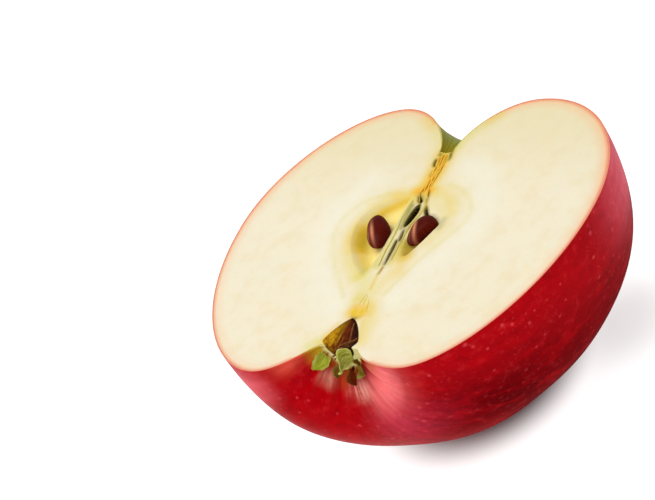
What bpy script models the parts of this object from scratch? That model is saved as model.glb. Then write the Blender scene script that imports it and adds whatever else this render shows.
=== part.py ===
"""Apple half, cut from stem end to calyx end and lying on its skin with the cut face up.

X runs across the cut face, +Y points to the stem end and +Z is the cut face's normal.
The origin is the middle of the small flat spot that the half rests on.
"""

import math

import bmesh
import bpy
from mathutils import Vector
from mathutils.geometry import interpolate_bezier

MM = 0.001

# Rims of the cut face in millimetres, from the fruit's axis: (radius, height) of each named point
# and the lengths of the arcs' handles before and after it. Height 0 is level with the core's top.
# The lip ends the calyx basin, and the mouth, bulge and tip belong to the hollow behind the calyx.
RIM_RIGHT = {
    "pit": (1.5, 14.1), "pit_handle": (0.3, 6.0),
    "shoulder": (15.0, 26.7), "shoulder_handles": (7.5, 12.9),
    "equator": (38.95, -1.2), "equator_handles": (15.5, 20.5),
    "foot": (15.5, -38.9), "foot_handles": (10.0, 4.2),
    "lip": (4.9, -34.4), "lip_handle": (1.3, -1.5),
    "mouth": (3.4, -33.8), "bulge": (4.1, -32.5),
}
RIM_LEFT = {
    "pit": (1.4, 14.5), "pit_handle": (0.6, 4.9),
    "shoulder": (15.5, 27.1), "shoulder_handles": (7.0, 11.4),
    "equator": (39.0, -1.6), "equator_handles": (15.2, 21.3),
    "foot": (15.6, -38.8), "foot_handles": (9.2, 5.5),
    "lip": (3.5, -33.0), "lip_handle": (2.4, -0.1),
    "mouth": (2.6, -33.4), "bulge": (3.9, -31.8),
}
PIT_FLOOR = 14.0
TUBE_TIP = -26.8

# Handles of the short arcs from the lip into the hollow behind the calyx, as (outward, upward) offsets
LIP_END_HANDLE = (-0.6, -0.2)
MOUTH_HANDLES = ((0.1, -0.4), (0.2, 0.4))
BULGE_HANDLES = ((0.0, -0.6), (-0.2, 1.0))
TIP_HANDLE = (1.7, -0.5)

HALF_DEPTH_RATIO = 0.988
UNDERSIDE_EQUATOR_SHIFT = -3.0
FLAT_SPOT_DEPTH = 0.45
REST_HEIGHT_ON_AXIS = -4.3

# Swellings and hollows of the skin: place in the half turn and along the profile's arcs,
# how far each reaches in both, and how far it stands out
BULGES = (
    {"turn_deg": 28.0, "place": 1.8, "turn_reach_deg": 15.0, "place_reach": 0.4, "height": 0.7},
    {"turn_deg": 57.0, "place": 2.24, "turn_reach_deg": 8.0, "place_reach": 0.2, "height": -0.4},
    {"turn_deg": 86.0, "place": 2.62, "turn_reach_deg": 16.0, "place_reach": 0.4, "height": -0.45},
    {"turn_deg": 139.0, "place": 2.8, "turn_reach_deg": 29.0, "place_reach": 0.55, "height": 0.9},
)

# Lobes round the calyx end and the finer puckers of its basin
LOBES_PER_TURN = 5
LOBE_HEIGHT = 0.25
LOBE_PLACE = 3.2
LOBE_REACH = 0.4
PUCKERS_PER_TURN = 18
PUCKER_HEIGHT = 0.32
PUCKER_PLACE = 3.62
PUCKER_REACH = 0.38

# Steps of the body's skin: round the half turn, and along each arc from the pit to the tube's tip
TURN_STEPS = 56
ARC_STEPS = (7, 10, 12, 9, 2, 3, 4)

# Seed pockets and the gaps between their walls: depth, the floor's share of the outline, steps between
# the outline's corners, rings down the round wall, and the outline's corners in the cut plane
CORE_HOLLOWS = {
    "left_pocket": {
        "depth": 2.9, "floor_share": 0.72, "steps": 3, "rings": 4,
        "corners": ((-2.9, 3.0), (-7.4, 2.6), (-10.9, -1.0), (-10.8, -5.8), (-8.4, -10.4),
                    (-5.4, -14.3), (-3.3, -15.9), (-2.5, -10.8), (-2.8, -5.0), (-2.5, -0.5))},
    "right_pocket": {
        "depth": 2.6, "floor_share": 0.78, "steps": 3, "rings": 4,
        "corners": ((2.2, 2.7), (4.6, 2.7), (7.0, 0.0), (8.3, -4.6), (6.5, -9.2),
                    (4.0, -12.6), (2.7, -12.4), (1.9, -8.6), (1.6, -4.0), (1.7, 0.4))},
    "upper_gap": {
        "depth": 3.0, "floor_share": 0.6, "steps": 2, "rings": 2,
        "corners": ((0.1, 1.2), (0.6, -0.4), (0.45, -2.6), (-0.45, -3.9), (-0.85, -2.4), (-0.6, -0.2))},
    "lower_gap": {
        "depth": 2.0, "floor_share": 0.6, "steps": 2, "rings": 2,
        "corners": ((0.0, -7.2), (0.35, -8.6), (0.4, -11.4), (0.1, -13.9), (-0.35, -11.4), (-0.4, -8.6))},
}
CUTTER_OVERSHOOT = 1.0

# Seeds: middle of each in the cut plane's frame, turn of its blunt end from +Y towards -X, and size
SEEDS = {
    "seed_left": {
        "middle": (-6.1, -5.0, -0.8), "turn_deg": 32.0, "length": 8.7, "width": 4.6, "thickness": 3.0},
    "seed_right": {
        "middle": (4.6, -5.1, -0.45), "turn_deg": -36.0, "length": 7.1, "width": 4.7, "thickness": 3.0},
}
SEED_TAPER = 0.42
SEED_TAPER_SHIFT = 0.25
SEED_SEGMENTS = 14
SEED_RINGS = 12

# Sepals: place round the calyx from +X through the underside, radius of the base, first lean away
# from the axis, how far each curls back over its length, and size
SEPALS = {
    "sepal_right": {
        "turn_deg": 12.0, "base": 4.0, "lean_deg": -55.0, "curl_deg": 100.0, "length": 4.2, "width": 4.0},
    "sepal_olive": {
        "turn_deg": 27.0, "base": 5.0, "lean_deg": 15.0, "curl_deg": 65.0, "length": 3.0, "width": 3.2},
    "sepal_brown": {
        "turn_deg": 64.0, "base": 4.5, "lean_deg": 10.0, "curl_deg": 60.0, "length": 3.0, "width": 2.2},
    "sepal_under": {
        "turn_deg": 103.0, "base": 3.9, "lean_deg": 0.0, "curl_deg": 60.0, "length": 2.2, "width": 2.1},
    "sepal_left": {
        "turn_deg": 155.0, "base": 3.4, "lean_deg": 0.0, "curl_deg": 80.0, "length": 3.6, "width": 3.5},
}
SEPAL_BASE_CLEARANCE = 0.9
SEPAL_THICKNESS = 0.5
SEPAL_BASE_SHARE = 0.18
SEPAL_TIP_HALF_WIDTH = 0.25
SEPAL_CUP = 0.35
SEPAL_WAVE = 0.18
SEPAL_FULLNESS = 0.8
SEPAL_STEPS = 7
SEPAL_HALVES = 2

# Colour and roughness of each material
FINISHES = {
    "apple_skin": ((0.42, 0.01, 0.025), 0.28),
    "apple_flesh": ((0.93, 0.84, 0.62), 0.55),
    "seed_coat": ((0.09, 0.012, 0.008), 0.25),
    "sepal_green": ((0.42, 0.45, 0.12), 0.6),
    "sepal_brown": ((0.08, 0.02, 0.005), 0.6),
}

SMOOTH_ANGLE = math.radians(38.0)
LEVEL_FACE = 0.999
CUT_TOLERANCE = 1e-7
CUT_HEIGHT = RIM_LEFT["equator"][0] * HALF_DEPTH_RATIO - FLAT_SPOT_DEPTH


def clear_scene():
    """Remove every object that the scene starts with."""
    for obj in list(bpy.data.objects):
        bpy.data.objects.remove(obj, do_unlink=True)


def in_row(point):
    """A point of the cut plane's frame, in millimetres, as a vector of the part's frame in metres."""
    x, y, z = point
    return Vector((x, y - REST_HEIGHT_ON_AXIS, z + CUT_HEIGHT)) * MM


def mix(first, second, share):
    """The value or pair that lies at share of the way from first to second."""
    if isinstance(first, tuple):
        return tuple(mix(a, b, share) for a, b in zip(first, second))
    return first + (second - first) * share


def beside(point, outward, upward):
    """The (radius, height) pair that lies so far outward and upward of a point."""
    return point[0] + outward, point[1] + upward


def arc(start, handle, end_handle, end, steps):
    """Points of one curved stretch of a profile, without its first point."""
    corners = [Vector((p[0], p[1], 0.0)) for p in (start, handle, end_handle, end)]
    points = interpolate_bezier(*corners, steps + 1)
    return [(p.x, p.y) for p in points[1:]]


def profile(share):
    """Profile between the right rim (share 0) and the left rim (share 1), with each point's place."""
    rim = {key: mix(value, RIM_LEFT[key], share) for key, value in RIM_RIGHT.items()}
    pit, shoulder, equator, foot = (rim[key] for key in ("pit", "shoulder", "equator", "foot"))
    lip, mouth, bulge = (rim[key] for key in ("lip", "mouth", "bulge"))
    before_shoulder, after_shoulder = rim["shoulder_handles"]
    before_equator, after_equator = rim["equator_handles"]
    before_foot, after_foot = rim["foot_handles"]
    tip = (0.0, TUBE_TIP)
    shift = UNDERSIDE_EQUATOR_SHIFT * 4.0 * share * (1.0 - share)
    above_equator = beside(equator, 0.0, before_equator)
    below_equator = beside(equator, 0.0, -after_equator)
    equator = beside(equator, 0.0, shift)
    stretches = (
        (pit, beside(pit, *rim["pit_handle"]), beside(shoulder, -before_shoulder, 0.0), shoulder),
        (shoulder, beside(shoulder, after_shoulder, 0.0), above_equator, equator),
        (equator, below_equator, beside(foot, before_foot, 0.0), foot),
        (foot, beside(foot, -after_foot, 0.0), beside(lip, *rim["lip_handle"]), lip),
        (lip, beside(lip, *LIP_END_HANDLE), beside(mouth, *MOUTH_HANDLES[0]), mouth),
        (mouth, beside(mouth, *MOUTH_HANDLES[1]), beside(bulge, *BULGE_HANDLES[0]), bulge),
        (bulge, beside(bulge, *BULGE_HANDLES[1]), beside(tip, *TIP_HANDLE), tip),
    )
    points = [pit]
    places = [0.0]
    for number, (stretch, steps) in enumerate(zip(stretches, ARC_STEPS)):
        points += arc(*stretch, steps)
        places += [number + (step + 1) / steps for step in range(steps)]
    return points, places


def bump(place, middle, reach):
    """A smooth bell that is 1 at middle and dies away over reach."""
    return math.exp(-(((place - middle) / reach) ** 2))


def relief(turn, place):
    """How far the skin stands out from the plain turned shape, in millimetres."""
    lobes = -LOBE_HEIGHT * math.sin(LOBES_PER_TURN * turn) * bump(place, LOBE_PLACE, LOBE_REACH)
    puckers = PUCKER_HEIGHT * math.cos(PUCKERS_PER_TURN * turn) * bump(place, PUCKER_PLACE, PUCKER_REACH)
    bulges = sum(
        bulge["height"] * bump(math.degrees(turn), bulge["turn_deg"], bulge["turn_reach_deg"])
        * bump(place, bulge["place"], bulge["place_reach"]) for bulge in BULGES)
    return lobes + puckers + bulges


def raised_profile(turn):
    """The profile at one place of the half turn, with lobes and puckers, as (radius, height) pairs."""
    points, places = profile((1.0 - math.cos(turn)) / 2.0)
    raised = []
    for number, (point, place) in enumerate(zip(points, places)):
        before = points[max(number - 1, 0)]
        after = points[min(number + 1, len(points) - 1)]
        along = Vector((after[0] - before[0], after[1] - before[1])).normalized()
        height = relief(turn, place)
        raised.append((point[0] - along.y * height, point[1] + along.x * height))
    return raised


def skin_point(turn, radius, height):
    """A point of the skin at one turn about the fruit's axis, from +X through the underside to -X."""
    return in_row((radius * math.cos(turn), height, -radius * math.sin(turn) * HALF_DEPTH_RATIO))


def body_mesh():
    """The closed body: turned skin with its calyx hollow, and the flat cut face."""
    bm = bmesh.new()
    columns = []
    for step in range(TURN_STEPS + 1):
        turn = math.pi * step / TURN_STEPS
        column = [bm.verts.new(skin_point(turn, r, h)) for r, h in raised_profile(turn)[:-1]]
        columns.append(column)
    pit_floor = bm.verts.new(in_row((0.0, PIT_FLOOR, 0.0)))
    tube_tip = bm.verts.new(in_row((0.0, TUBE_TIP, 0.0)))
    for column, following in zip(columns, columns[1:]):
        bm.faces.new((pit_floor, column[0], following[0]))
        bm.faces.new((tube_tip, following[-1], column[-1]))
        for row in range(len(column) - 1):
            bm.faces.new((column[row], column[row + 1], following[row + 1], following[row]))
    bm.faces.new([pit_floor] + columns[-1] + [tube_tip] + columns[0][::-1])
    flatten_rest(bm)
    bmesh.ops.recalc_face_normals(bm, faces=bm.faces[:])
    return bm


def flatten_rest(bm):
    """Slice off the lowest sliver of skin, which leaves the flat spot that the half rests on."""
    cut = bmesh.ops.bisect_plane(
        bm, geom=bm.verts[:] + bm.edges[:] + bm.faces[:], dist=CUT_TOLERANCE,
        plane_co=(0.0, 0.0, 0.0), plane_no=(0.0, 0.0, -1.0), clear_outer=True)
    edges = [e for e in cut["geom_cut"] if isinstance(e, bmesh.types.BMEdge)]
    bmesh.ops.contextual_create(bm, geom=edges)


def closed_curve(corners, steps):
    """A smooth closed curve through the corners, with the given steps between each two."""
    count = len(corners)
    curve = []
    for number in range(count):
        a, b, c, d = (Vector(corners[(number + shift) % count]) for shift in (-1, 0, 1, 2))
        for step in range(steps):
            t = step / steps
            curve.append(0.5 * (2 * b + (c - a) * t + (2 * a - 5 * b + 4 * c - d) * t * t
                                + (3 * b - a - 3 * c + d) * t ** 3))
    return curve


def hollow_cutter(name, corners, depth, floor_share, steps, rings):
    """A cutter with the given outline at the cut plane, closing in along a round wall to its floor."""
    outline = closed_curve(corners, steps)
    middle = sum(outline, Vector((0.0, 0.0))) / len(outline)
    levels = [(CUTTER_OVERSHOOT, 1.0)]
    for ring in range(rings + 1):
        angle = math.pi / 2.0 * ring / rings
        levels.append((-depth * math.sin(angle), mix(floor_share, 1.0, math.cos(angle))))
    bm = bmesh.new()
    loops = []
    for height, share in levels:
        points = [middle + (point - middle) * share for point in outline]
        loops.append([bm.verts.new(in_row((point.x, point.y, height))) for point in points])
    for upper, lower in zip(loops, loops[1:]):
        for number in range(len(outline)):
            after = (number + 1) % len(outline)
            bm.faces.new((upper[number], upper[after], lower[after], lower[number]))
    bm.faces.new(loops[0])
    bm.faces.new(loops[-1][::-1])
    bmesh.ops.recalc_face_normals(bm, faces=bm.faces[:])
    cutter = new_object(name, bm)
    cutter.hide_render = True
    cutter.display_type = "WIRE"
    return cutter


def new_object(name, bm):
    """Link a new smooth-shaded object that holds the mesh, and free the bmesh."""
    mesh = bpy.data.meshes.new(name)
    bm.to_mesh(mesh)
    bm.free()
    mesh.shade_smooth()
    mesh.set_sharp_from_angle(angle=SMOOTH_ANGLE)
    obj = bpy.data.objects.new(name, mesh)
    bpy.context.scene.collection.objects.link(obj)
    return obj


def finish_material(name):
    """The Principled material of that name, with its colour and roughness."""
    colour, roughness = FINISHES[name]
    material = bpy.data.materials.new(name)
    material.use_nodes = True
    shader = material.node_tree.nodes["Principled BSDF"]
    shader.inputs["Base Color"].default_value = (*colour, 1.0)
    shader.inputs["Roughness"].default_value = roughness
    shader.inputs["Metallic"].default_value = 0.0
    return material


def cut_from(body, cutters):
    """Subtract the cutters from the body with exact Booleans, keep the result and remove the cutters."""
    for cutter in cutters:
        modifier = body.modifiers.new(cutter.name, "BOOLEAN")
        modifier.operation = "DIFFERENCE"
        modifier.object = cutter
        modifier.solver = "EXACT"
    evaluated = body.evaluated_get(bpy.context.evaluated_depsgraph_get())
    whole = body.data
    body.data = bpy.data.meshes.new_from_object(evaluated)
    body.modifiers.clear()
    bpy.data.meshes.remove(whole)
    for cutter in cutters:
        bpy.data.objects.remove(cutter, do_unlink=True)
    body.data.shade_smooth()
    body.data.set_sharp_from_angle(angle=SMOOTH_ANGLE)


def build_body():
    """The half's one solid: skin, flesh, stem cavity, calyx basin and the cut core."""
    body = new_object("apple_body", body_mesh())
    skin = finish_material("apple_skin")
    flesh = finish_material("apple_flesh")
    body.data.materials.append(skin)
    body.data.materials.append(flesh)
    for face in body.data.polygons:
        face.material_index = int(face.normal.z > LEVEL_FACE)
    cutters = [hollow_cutter(name + "_cutter", **hollow) for name, hollow in CORE_HOLLOWS.items()]
    for cutter in cutters:
        cutter.data.materials.append(flesh)
    cut_from(body, cutters)
    return body


def build_seed(name, seed, material):
    """A seed with a blunt end and a tapered end, lying in its pocket."""
    bm = bmesh.new()
    bmesh.ops.create_uvsphere(bm, u_segments=SEED_SEGMENTS, v_segments=SEED_RINGS, radius=0.5)
    turn = math.radians(seed["turn_deg"])
    for vert in bm.verts:
        along = vert.co.z * 2.0
        girth = 1.0 - SEED_TAPER * (0.5 - along / 2.0 - SEED_TAPER_SHIFT) * (0.5 - along / 2.0)
        across = vert.co.x * seed["width"] * girth
        up = -vert.co.y * seed["thickness"] * girth
        length = along * seed["length"] / 2.0
        x = across * math.cos(turn) - length * math.sin(turn)
        y = across * math.sin(turn) + length * math.cos(turn)
        middle = seed["middle"]
        vert.co = in_row((middle[0] + x, middle[1] + y, middle[2] + up))
    obj = new_object(name, bm)
    obj.data.materials.append(material)
    return obj


def basin_height(turn, radius):
    """Height of the calyx basin's skin, or of its lip, at one turn and radius."""
    basin = raised_profile(turn)[sum(ARC_STEPS[:3]):sum(ARC_STEPS[:5]) + 1]
    for outer, inner in zip(basin, basin[1:]):
        if inner[0] <= radius <= outer[0]:
            return mix(inner[1], outer[1], (radius - inner[0]) / (outer[0] - inner[0]))
    return basin[-1][1]


def sepal_line(sepal, steps):
    """Points of a sepal's middle line, its direction at each and how far along each lies."""
    outward = sepal["base"]
    height = basin_height(math.radians(sepal["turn_deg"]), outward) - SEPAL_BASE_CLEARANCE
    line = []
    for step in range(steps + 1):
        share = step / steps
        lean = math.radians(sepal["lean_deg"] + sepal["curl_deg"] * share)
        direction = Vector((math.sin(lean), -math.cos(lean)))
        line.append((Vector((outward, height)), direction, share))
        outward += direction.x * sepal["length"] / steps
        height += direction.y * sepal["length"] / steps
    return line


def build_sepal(name, sepal, material):
    """One thin wavy sepal at the calyx, cupped across and curling along its length."""
    turn = math.radians(sepal["turn_deg"])
    round_about = Vector((-math.sin(turn), 0.0, -math.cos(turn)))
    away = Vector((math.cos(turn), 0.0, -math.sin(turn)))
    upright = Vector((0.0, 1.0, 0.0))
    bm = bmesh.new()
    faces_of = {1.0: [], -1.0: []}
    for point, direction, share in sepal_line(sepal, SEPAL_STEPS):
        fullness = math.sin(math.pi * mix(SEPAL_BASE_SHARE, 1.0, share)) ** SEPAL_FULLNESS
        half_width = max(sepal["width"] / 2.0 * fullness, SEPAL_TIP_HALF_WIDTH)
        normal = away * -direction.y + upright * direction.x
        for side, rows in faces_of.items():
            row = []
            for place in range(-SEPAL_HALVES, SEPAL_HALVES + 1):
                across = place / SEPAL_HALVES
                lift = SEPAL_CUP * half_width * across * across
                wave = SEPAL_WAVE * across * math.sin(2.0 * math.pi * share)
                offset = wave - lift + side * SEPAL_THICKNESS / 2.0
                middle = away * point.x + upright * point.y
                corner = middle + round_about * across * half_width + normal * offset
                row.append(bm.verts.new(in_row(corner)))
            rows.append(row)
    close_sheet(bm, faces_of[1.0], faces_of[-1.0])
    obj = new_object(name, bm)
    obj.data.materials.append(material)
    return obj


def close_sheet(bm, upper, lower):
    """Two like grids of vertices as one closed sheet, both faces split into triangles alike."""
    for row in range(len(upper) - 1):
        for place in range(len(upper[0]) - 1):
            for grid in (upper, lower):
                a, b = grid[row][place], grid[row][place + 1]
                c, d = grid[row + 1][place + 1], grid[row + 1][place]
                bm.faces.new((a, b, c))
                bm.faces.new((a, c, d))
    around = [(0, p) for p in range(len(upper[0]))]
    around += [(r, len(upper[0]) - 1) for r in range(1, len(upper))]
    around += [(len(upper) - 1, p) for p in range(len(upper[0]) - 2, -1, -1)]
    around += [(r, 0) for r in range(len(upper) - 2, 0, -1)]
    for here, after in zip(around, around[1:] + around[:1]):
        a, b = upper[here[0]][here[1]], upper[after[0]][after[1]]
        c, d = lower[after[0]][after[1]], lower[here[0]][here[1]]
        bm.faces.new((a, b, c, d))
    bmesh.ops.recalc_face_normals(bm, faces=bm.faces[:])


def main():
    """Build the body, the seeds and the sepals."""
    clear_scene()
    build_body()
    seed_coat = finish_material("seed_coat")
    for name, seed in SEEDS.items():
        build_seed(name, seed, seed_coat)
    green, brown = finish_material("sepal_green"), finish_material("sepal_brown")
    for name, sepal in SEPALS.items():
        build_sepal(name, sepal, brown if name == "sepal_brown" else green)


if __name__ == "__main__":
    main()
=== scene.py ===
"""Dressed apple half: waxy skin, cut flesh with its core, seeds and dry calyx, in a plain studio.

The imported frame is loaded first, and every piece is built round it from the same named sizes.
Lengths in the tables are millimetres in the cut plane's frame: X across, Y to the stem, Z up.
"""

import math

import bmesh
import bpy
import numpy as np
from bpy.props import FloatProperty, FloatVectorProperty, IntProperty, PointerProperty
from mathutils import Matrix, Vector
from mathutils.geometry import delaunay_2d_cdt


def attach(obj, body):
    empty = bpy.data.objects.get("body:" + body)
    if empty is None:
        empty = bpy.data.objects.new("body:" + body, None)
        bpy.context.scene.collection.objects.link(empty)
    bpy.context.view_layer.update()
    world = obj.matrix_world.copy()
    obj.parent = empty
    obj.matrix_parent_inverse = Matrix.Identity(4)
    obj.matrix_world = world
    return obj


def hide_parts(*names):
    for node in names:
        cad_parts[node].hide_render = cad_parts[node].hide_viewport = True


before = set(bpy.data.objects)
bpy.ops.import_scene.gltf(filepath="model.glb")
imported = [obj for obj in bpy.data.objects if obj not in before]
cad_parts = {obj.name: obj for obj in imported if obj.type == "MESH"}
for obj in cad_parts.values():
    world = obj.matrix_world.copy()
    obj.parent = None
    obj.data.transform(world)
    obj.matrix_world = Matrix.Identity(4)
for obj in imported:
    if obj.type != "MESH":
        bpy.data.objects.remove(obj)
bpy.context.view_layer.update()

bl_info = {
    "name": "Apple half",
    "version": (1, 0, 0),
    "blender": (4, 5, 0),
    "location": "3D View > Sidebar > Apple half",
    "description": "Builds the dressed apple half round its packed frame",
    "category": "Object",
}

MM = 0.001

# Patches of the skin: paler, browner and olive ones of its own colour, and pink ones that are partly
# painted sheen and reflection. Each has the turn and its reach, the place and its reach, how much the
# streaks break the patch up, its strength, and its colour as it shows on a screen
SKIN_PATCHES_AND_SHEENS = (
    # pink flank right of the calyx: pale streaks of the skin's own, with painted reflection over them
    (0.48, 1.00, 3.36, 0.50, 0.25, 1.0, (250, 124, 124)),
    (0.25, 0.40, 3.62, 0.22, 0.4, 0.7, (196, 112, 70)),
    # purplish patch below it: pale streaks with painted sheen over them
    (0.98, 0.66, 3.00, 0.40, 0.4, 0.36, (206, 62, 92)),
    # pink band on the lower left: the skin's own pink with painted reflection
    (2.90, 0.38, 2.84, 0.34, 0.2, 0.62, (244, 108, 116)),
    (3.10, 0.36, 3.42, 0.36, 0.35, 0.62, (238, 100, 78)),
    # painted sheen along the right edge
    (0.10, 0.34, 1.68, 0.44, 0.3, 0.60, (240, 108, 128)),
    (3.00, 0.50, 3.86, 0.32, 0.2, 0.95, (196, 170, 40)),
    (2.20, 0.34, 3.62, 0.20, 0.6, 0.64, (220, 172, 146)),
    (1.25, 0.62, 3.56, 0.26, 0.75, 0.88, (232, 156, 140)),
    (1.78, 0.26, 3.66, 0.20, 0.3, 0.75, (176, 66, 22)),
    (1.60, 1.60, 3.95, 0.30, 0.3, 0.80, (140, 110, 36)),
)

# The frame's own form: rims of the cut face as (radius, height), as in the part's source
RIM_RIGHT = {
    "pit": (1.5, 14.1), "pit_handle": (0.3, 6.0),
    "shoulder": (15.0, 26.7), "shoulder_handles": (7.5, 12.9),
    "equator": (38.95, -1.2), "equator_handles": (15.5, 20.5),
    "foot": (15.5, -38.9), "foot_handles": (10.0, 4.2),
    "lip": (4.9, -34.4), "lip_handle": (1.3, -1.5),
    "mouth": (3.4, -33.8), "bulge": (4.1, -32.5),
}
RIM_LEFT = {
    "pit": (1.4, 14.5), "pit_handle": (0.6, 4.9),
    "shoulder": (15.5, 27.1), "shoulder_handles": (7.0, 11.4),
    "equator": (39.0, -1.6), "equator_handles": (15.2, 21.3),
    "foot": (15.6, -38.8), "foot_handles": (9.2, 5.5),
    "lip": (3.5, -33.0), "lip_handle": (2.4, -0.1),
    "mouth": (2.6, -33.4), "bulge": (3.9, -31.8),
}
PIT_FLOOR = 14.0
TUBE_TIP = -26.8
HALF_DEPTH_RATIO = 0.988
UNDERSIDE_EQUATOR_SHIFT = -3.0
FLAT_SPOT_DEPTH = 0.45
REST_HEIGHT_ON_AXIS = -4.3
CUT_HEIGHT = RIM_LEFT["equator"][0] * HALF_DEPTH_RATIO - FLAT_SPOT_DEPTH
LIP_END_HANDLE = (-0.6, -0.2)
MOUTH_HANDLES = ((0.1, -0.4), (0.2, 0.4))
BULGE_HANDLES = ((0.0, -0.6), (-0.2, 1.0))
TIP_HANDLE = (1.7, -0.5)

# Bulges and dents of the skin: the turn and its reach in degrees, the place and its reach, and the height
BULGES = (
    (28.0, 15.0, 1.8, 0.4, 0.7),
    (57.0, 8.0, 2.24, 0.2, -0.4),
    (86.0, 16.0, 2.62, 0.4, -0.45),
    (139.0, 29.0, 2.8, 0.55, 0.9),
)

# Waves round the skin: how many in a full turn, their phase, height, place and reach. They are the lobes,
# the puckers of the calyx basin, and the finer folds that only the dressed skin has.
WAVES = (
    (5, math.pi, 0.25, 3.2, 0.4),
    (18, math.pi / 2.0, 0.32, 3.62, 0.38),
    (31, 0.7, 0.12, 3.72, 0.3),
    (47, 2.1, 0.05, 3.6, 0.4),
    (23, 1.4, 0.06, 0.25, 0.25),
)

# Places along the profile at which its stretches start, and how soon the skin has its full thickness there
BASIN_PLACE, LIP_PLACE, MOUTH_PLACE = 3, 4, 5
PIT_THINNING, MOUTH_THINNING = 0.25, 0.8
SKIN_ARC_STEPS = (16, 30, 44, 36, 10, 4, 4)
FLESH_ARC_STEPS = (16, 30, 44, 36, 8, 10, 12)
FLESH_TURN_STEPS = 110
THIN_EDGE = 0.03
SHELL_GAP = 0.02

# Steps between two corners of a curve
CURVE_STEPS = 6
STROKE_STEPS = 5
FIBRE_STEPS = 8

# Hollows of the core: the depth, how far the round wall reaches in, how dark the painted shade of the gap
# is, and the outline
POCKETS = (
    (2.1, 3.6, 0.0, ((-2.4, 3.2), (-7.4, 2.8), (-11.2, -0.8), (-11.2, -6.0), (-8.8, -10.8),
        (-5.6, -14.6), (-3.1, -16.2), (-2.0, -11.4), (-1.9, -5.0), (-2.0, -0.5))),
    (1.6, 2.2, 0.0, ((2.2, -2.2), (4.2, -1.3), (6.2, -2.0), (7.7, -4.0), (6.9, -6.6), (5.6, -9.4),
        (3.9, -12.0), (2.6, -11.4), (1.8, -8.6), (1.6, -5.0))),
    (1.9, 0.5, 1.0, ((0.25, 1.3), (1.1, -0.4), (0.9, -2.0), (0.15, -4.0), (-0.55, -3.9), (-0.5, -0.8))),
    (2.0, 0.28, 0.80, ((-0.4, -7.8), (-0.05, -8.2), (0.12, -10.6), (0.15, -13.2), (0.0, -13.4),
        (-0.28, -11.0))),
    (0.8, 0.3, 0.68, ((-0.1, -5.0), (0.25, -5.6), (0.6, -7.6), (0.2, -7.8), (-0.1, -6.4))),
    (1.6, 0.3, 0.85, ((2.3, 0.4), (2.8, -0.1), (3.7, -1.6), (3.4, -2.1), (2.8, -1.2), (2.3, -0.2))),
    (0.9, 0.3, 0.85, ((-0.8, 3.3), (-0.3, 3.1), (0.4, 2.1), (0.1, 1.7), (-0.5, 2.3))),
    (0.5, 0.3, 0.65, ((-1.5, 12.5), (-1.1, 12.2), (-0.8, 11.1), (-1.0, 10.7), (-1.4, 11.4))),
)

# Olive edge of a gap and its dark middle, which is painted shade: the strength, how far outside its outline
# each starts, and the reach
GAP_TINTS_AND_SHADE = {"olive": (0.85, 0.55, 0.4), "dark": (1.0, 0.2, 0.3)}

# Ridges between the hollows: the top, the width and the line
RIDGES = (
    (-0.15, 0.7, ((-1.7, 2.4), (-1.9, -2.0), (-1.8, -6.0), (-1.5, -11.0), (-1.2, -15.0))),
    (-0.20, 0.5, ((1.3, -4.6), (1.3, -8.0), (1.5, -11.5), (1.5, -13.4))),
)

# The sunk band of the core and the groove of the strand: the depth, the reach and the line
GROOVES = (
    (0.32, 2.1, ((0.0, 2.0), (0.0, -5.0), (0.0, -14.0))),
    (0.28, 1.1, ((0.0, 14.0), (0.3, 9.0), (0.1, 4.6), (0.0, 2.4))),
)

# Faint waves that the knife left: the height, how fast they run across and up the face, and the phase
KNIFE_WAVES = ((0.02, (0.55, 0.35), 0.0), (0.015, (0.0, 0.8), 1.0))
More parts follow.
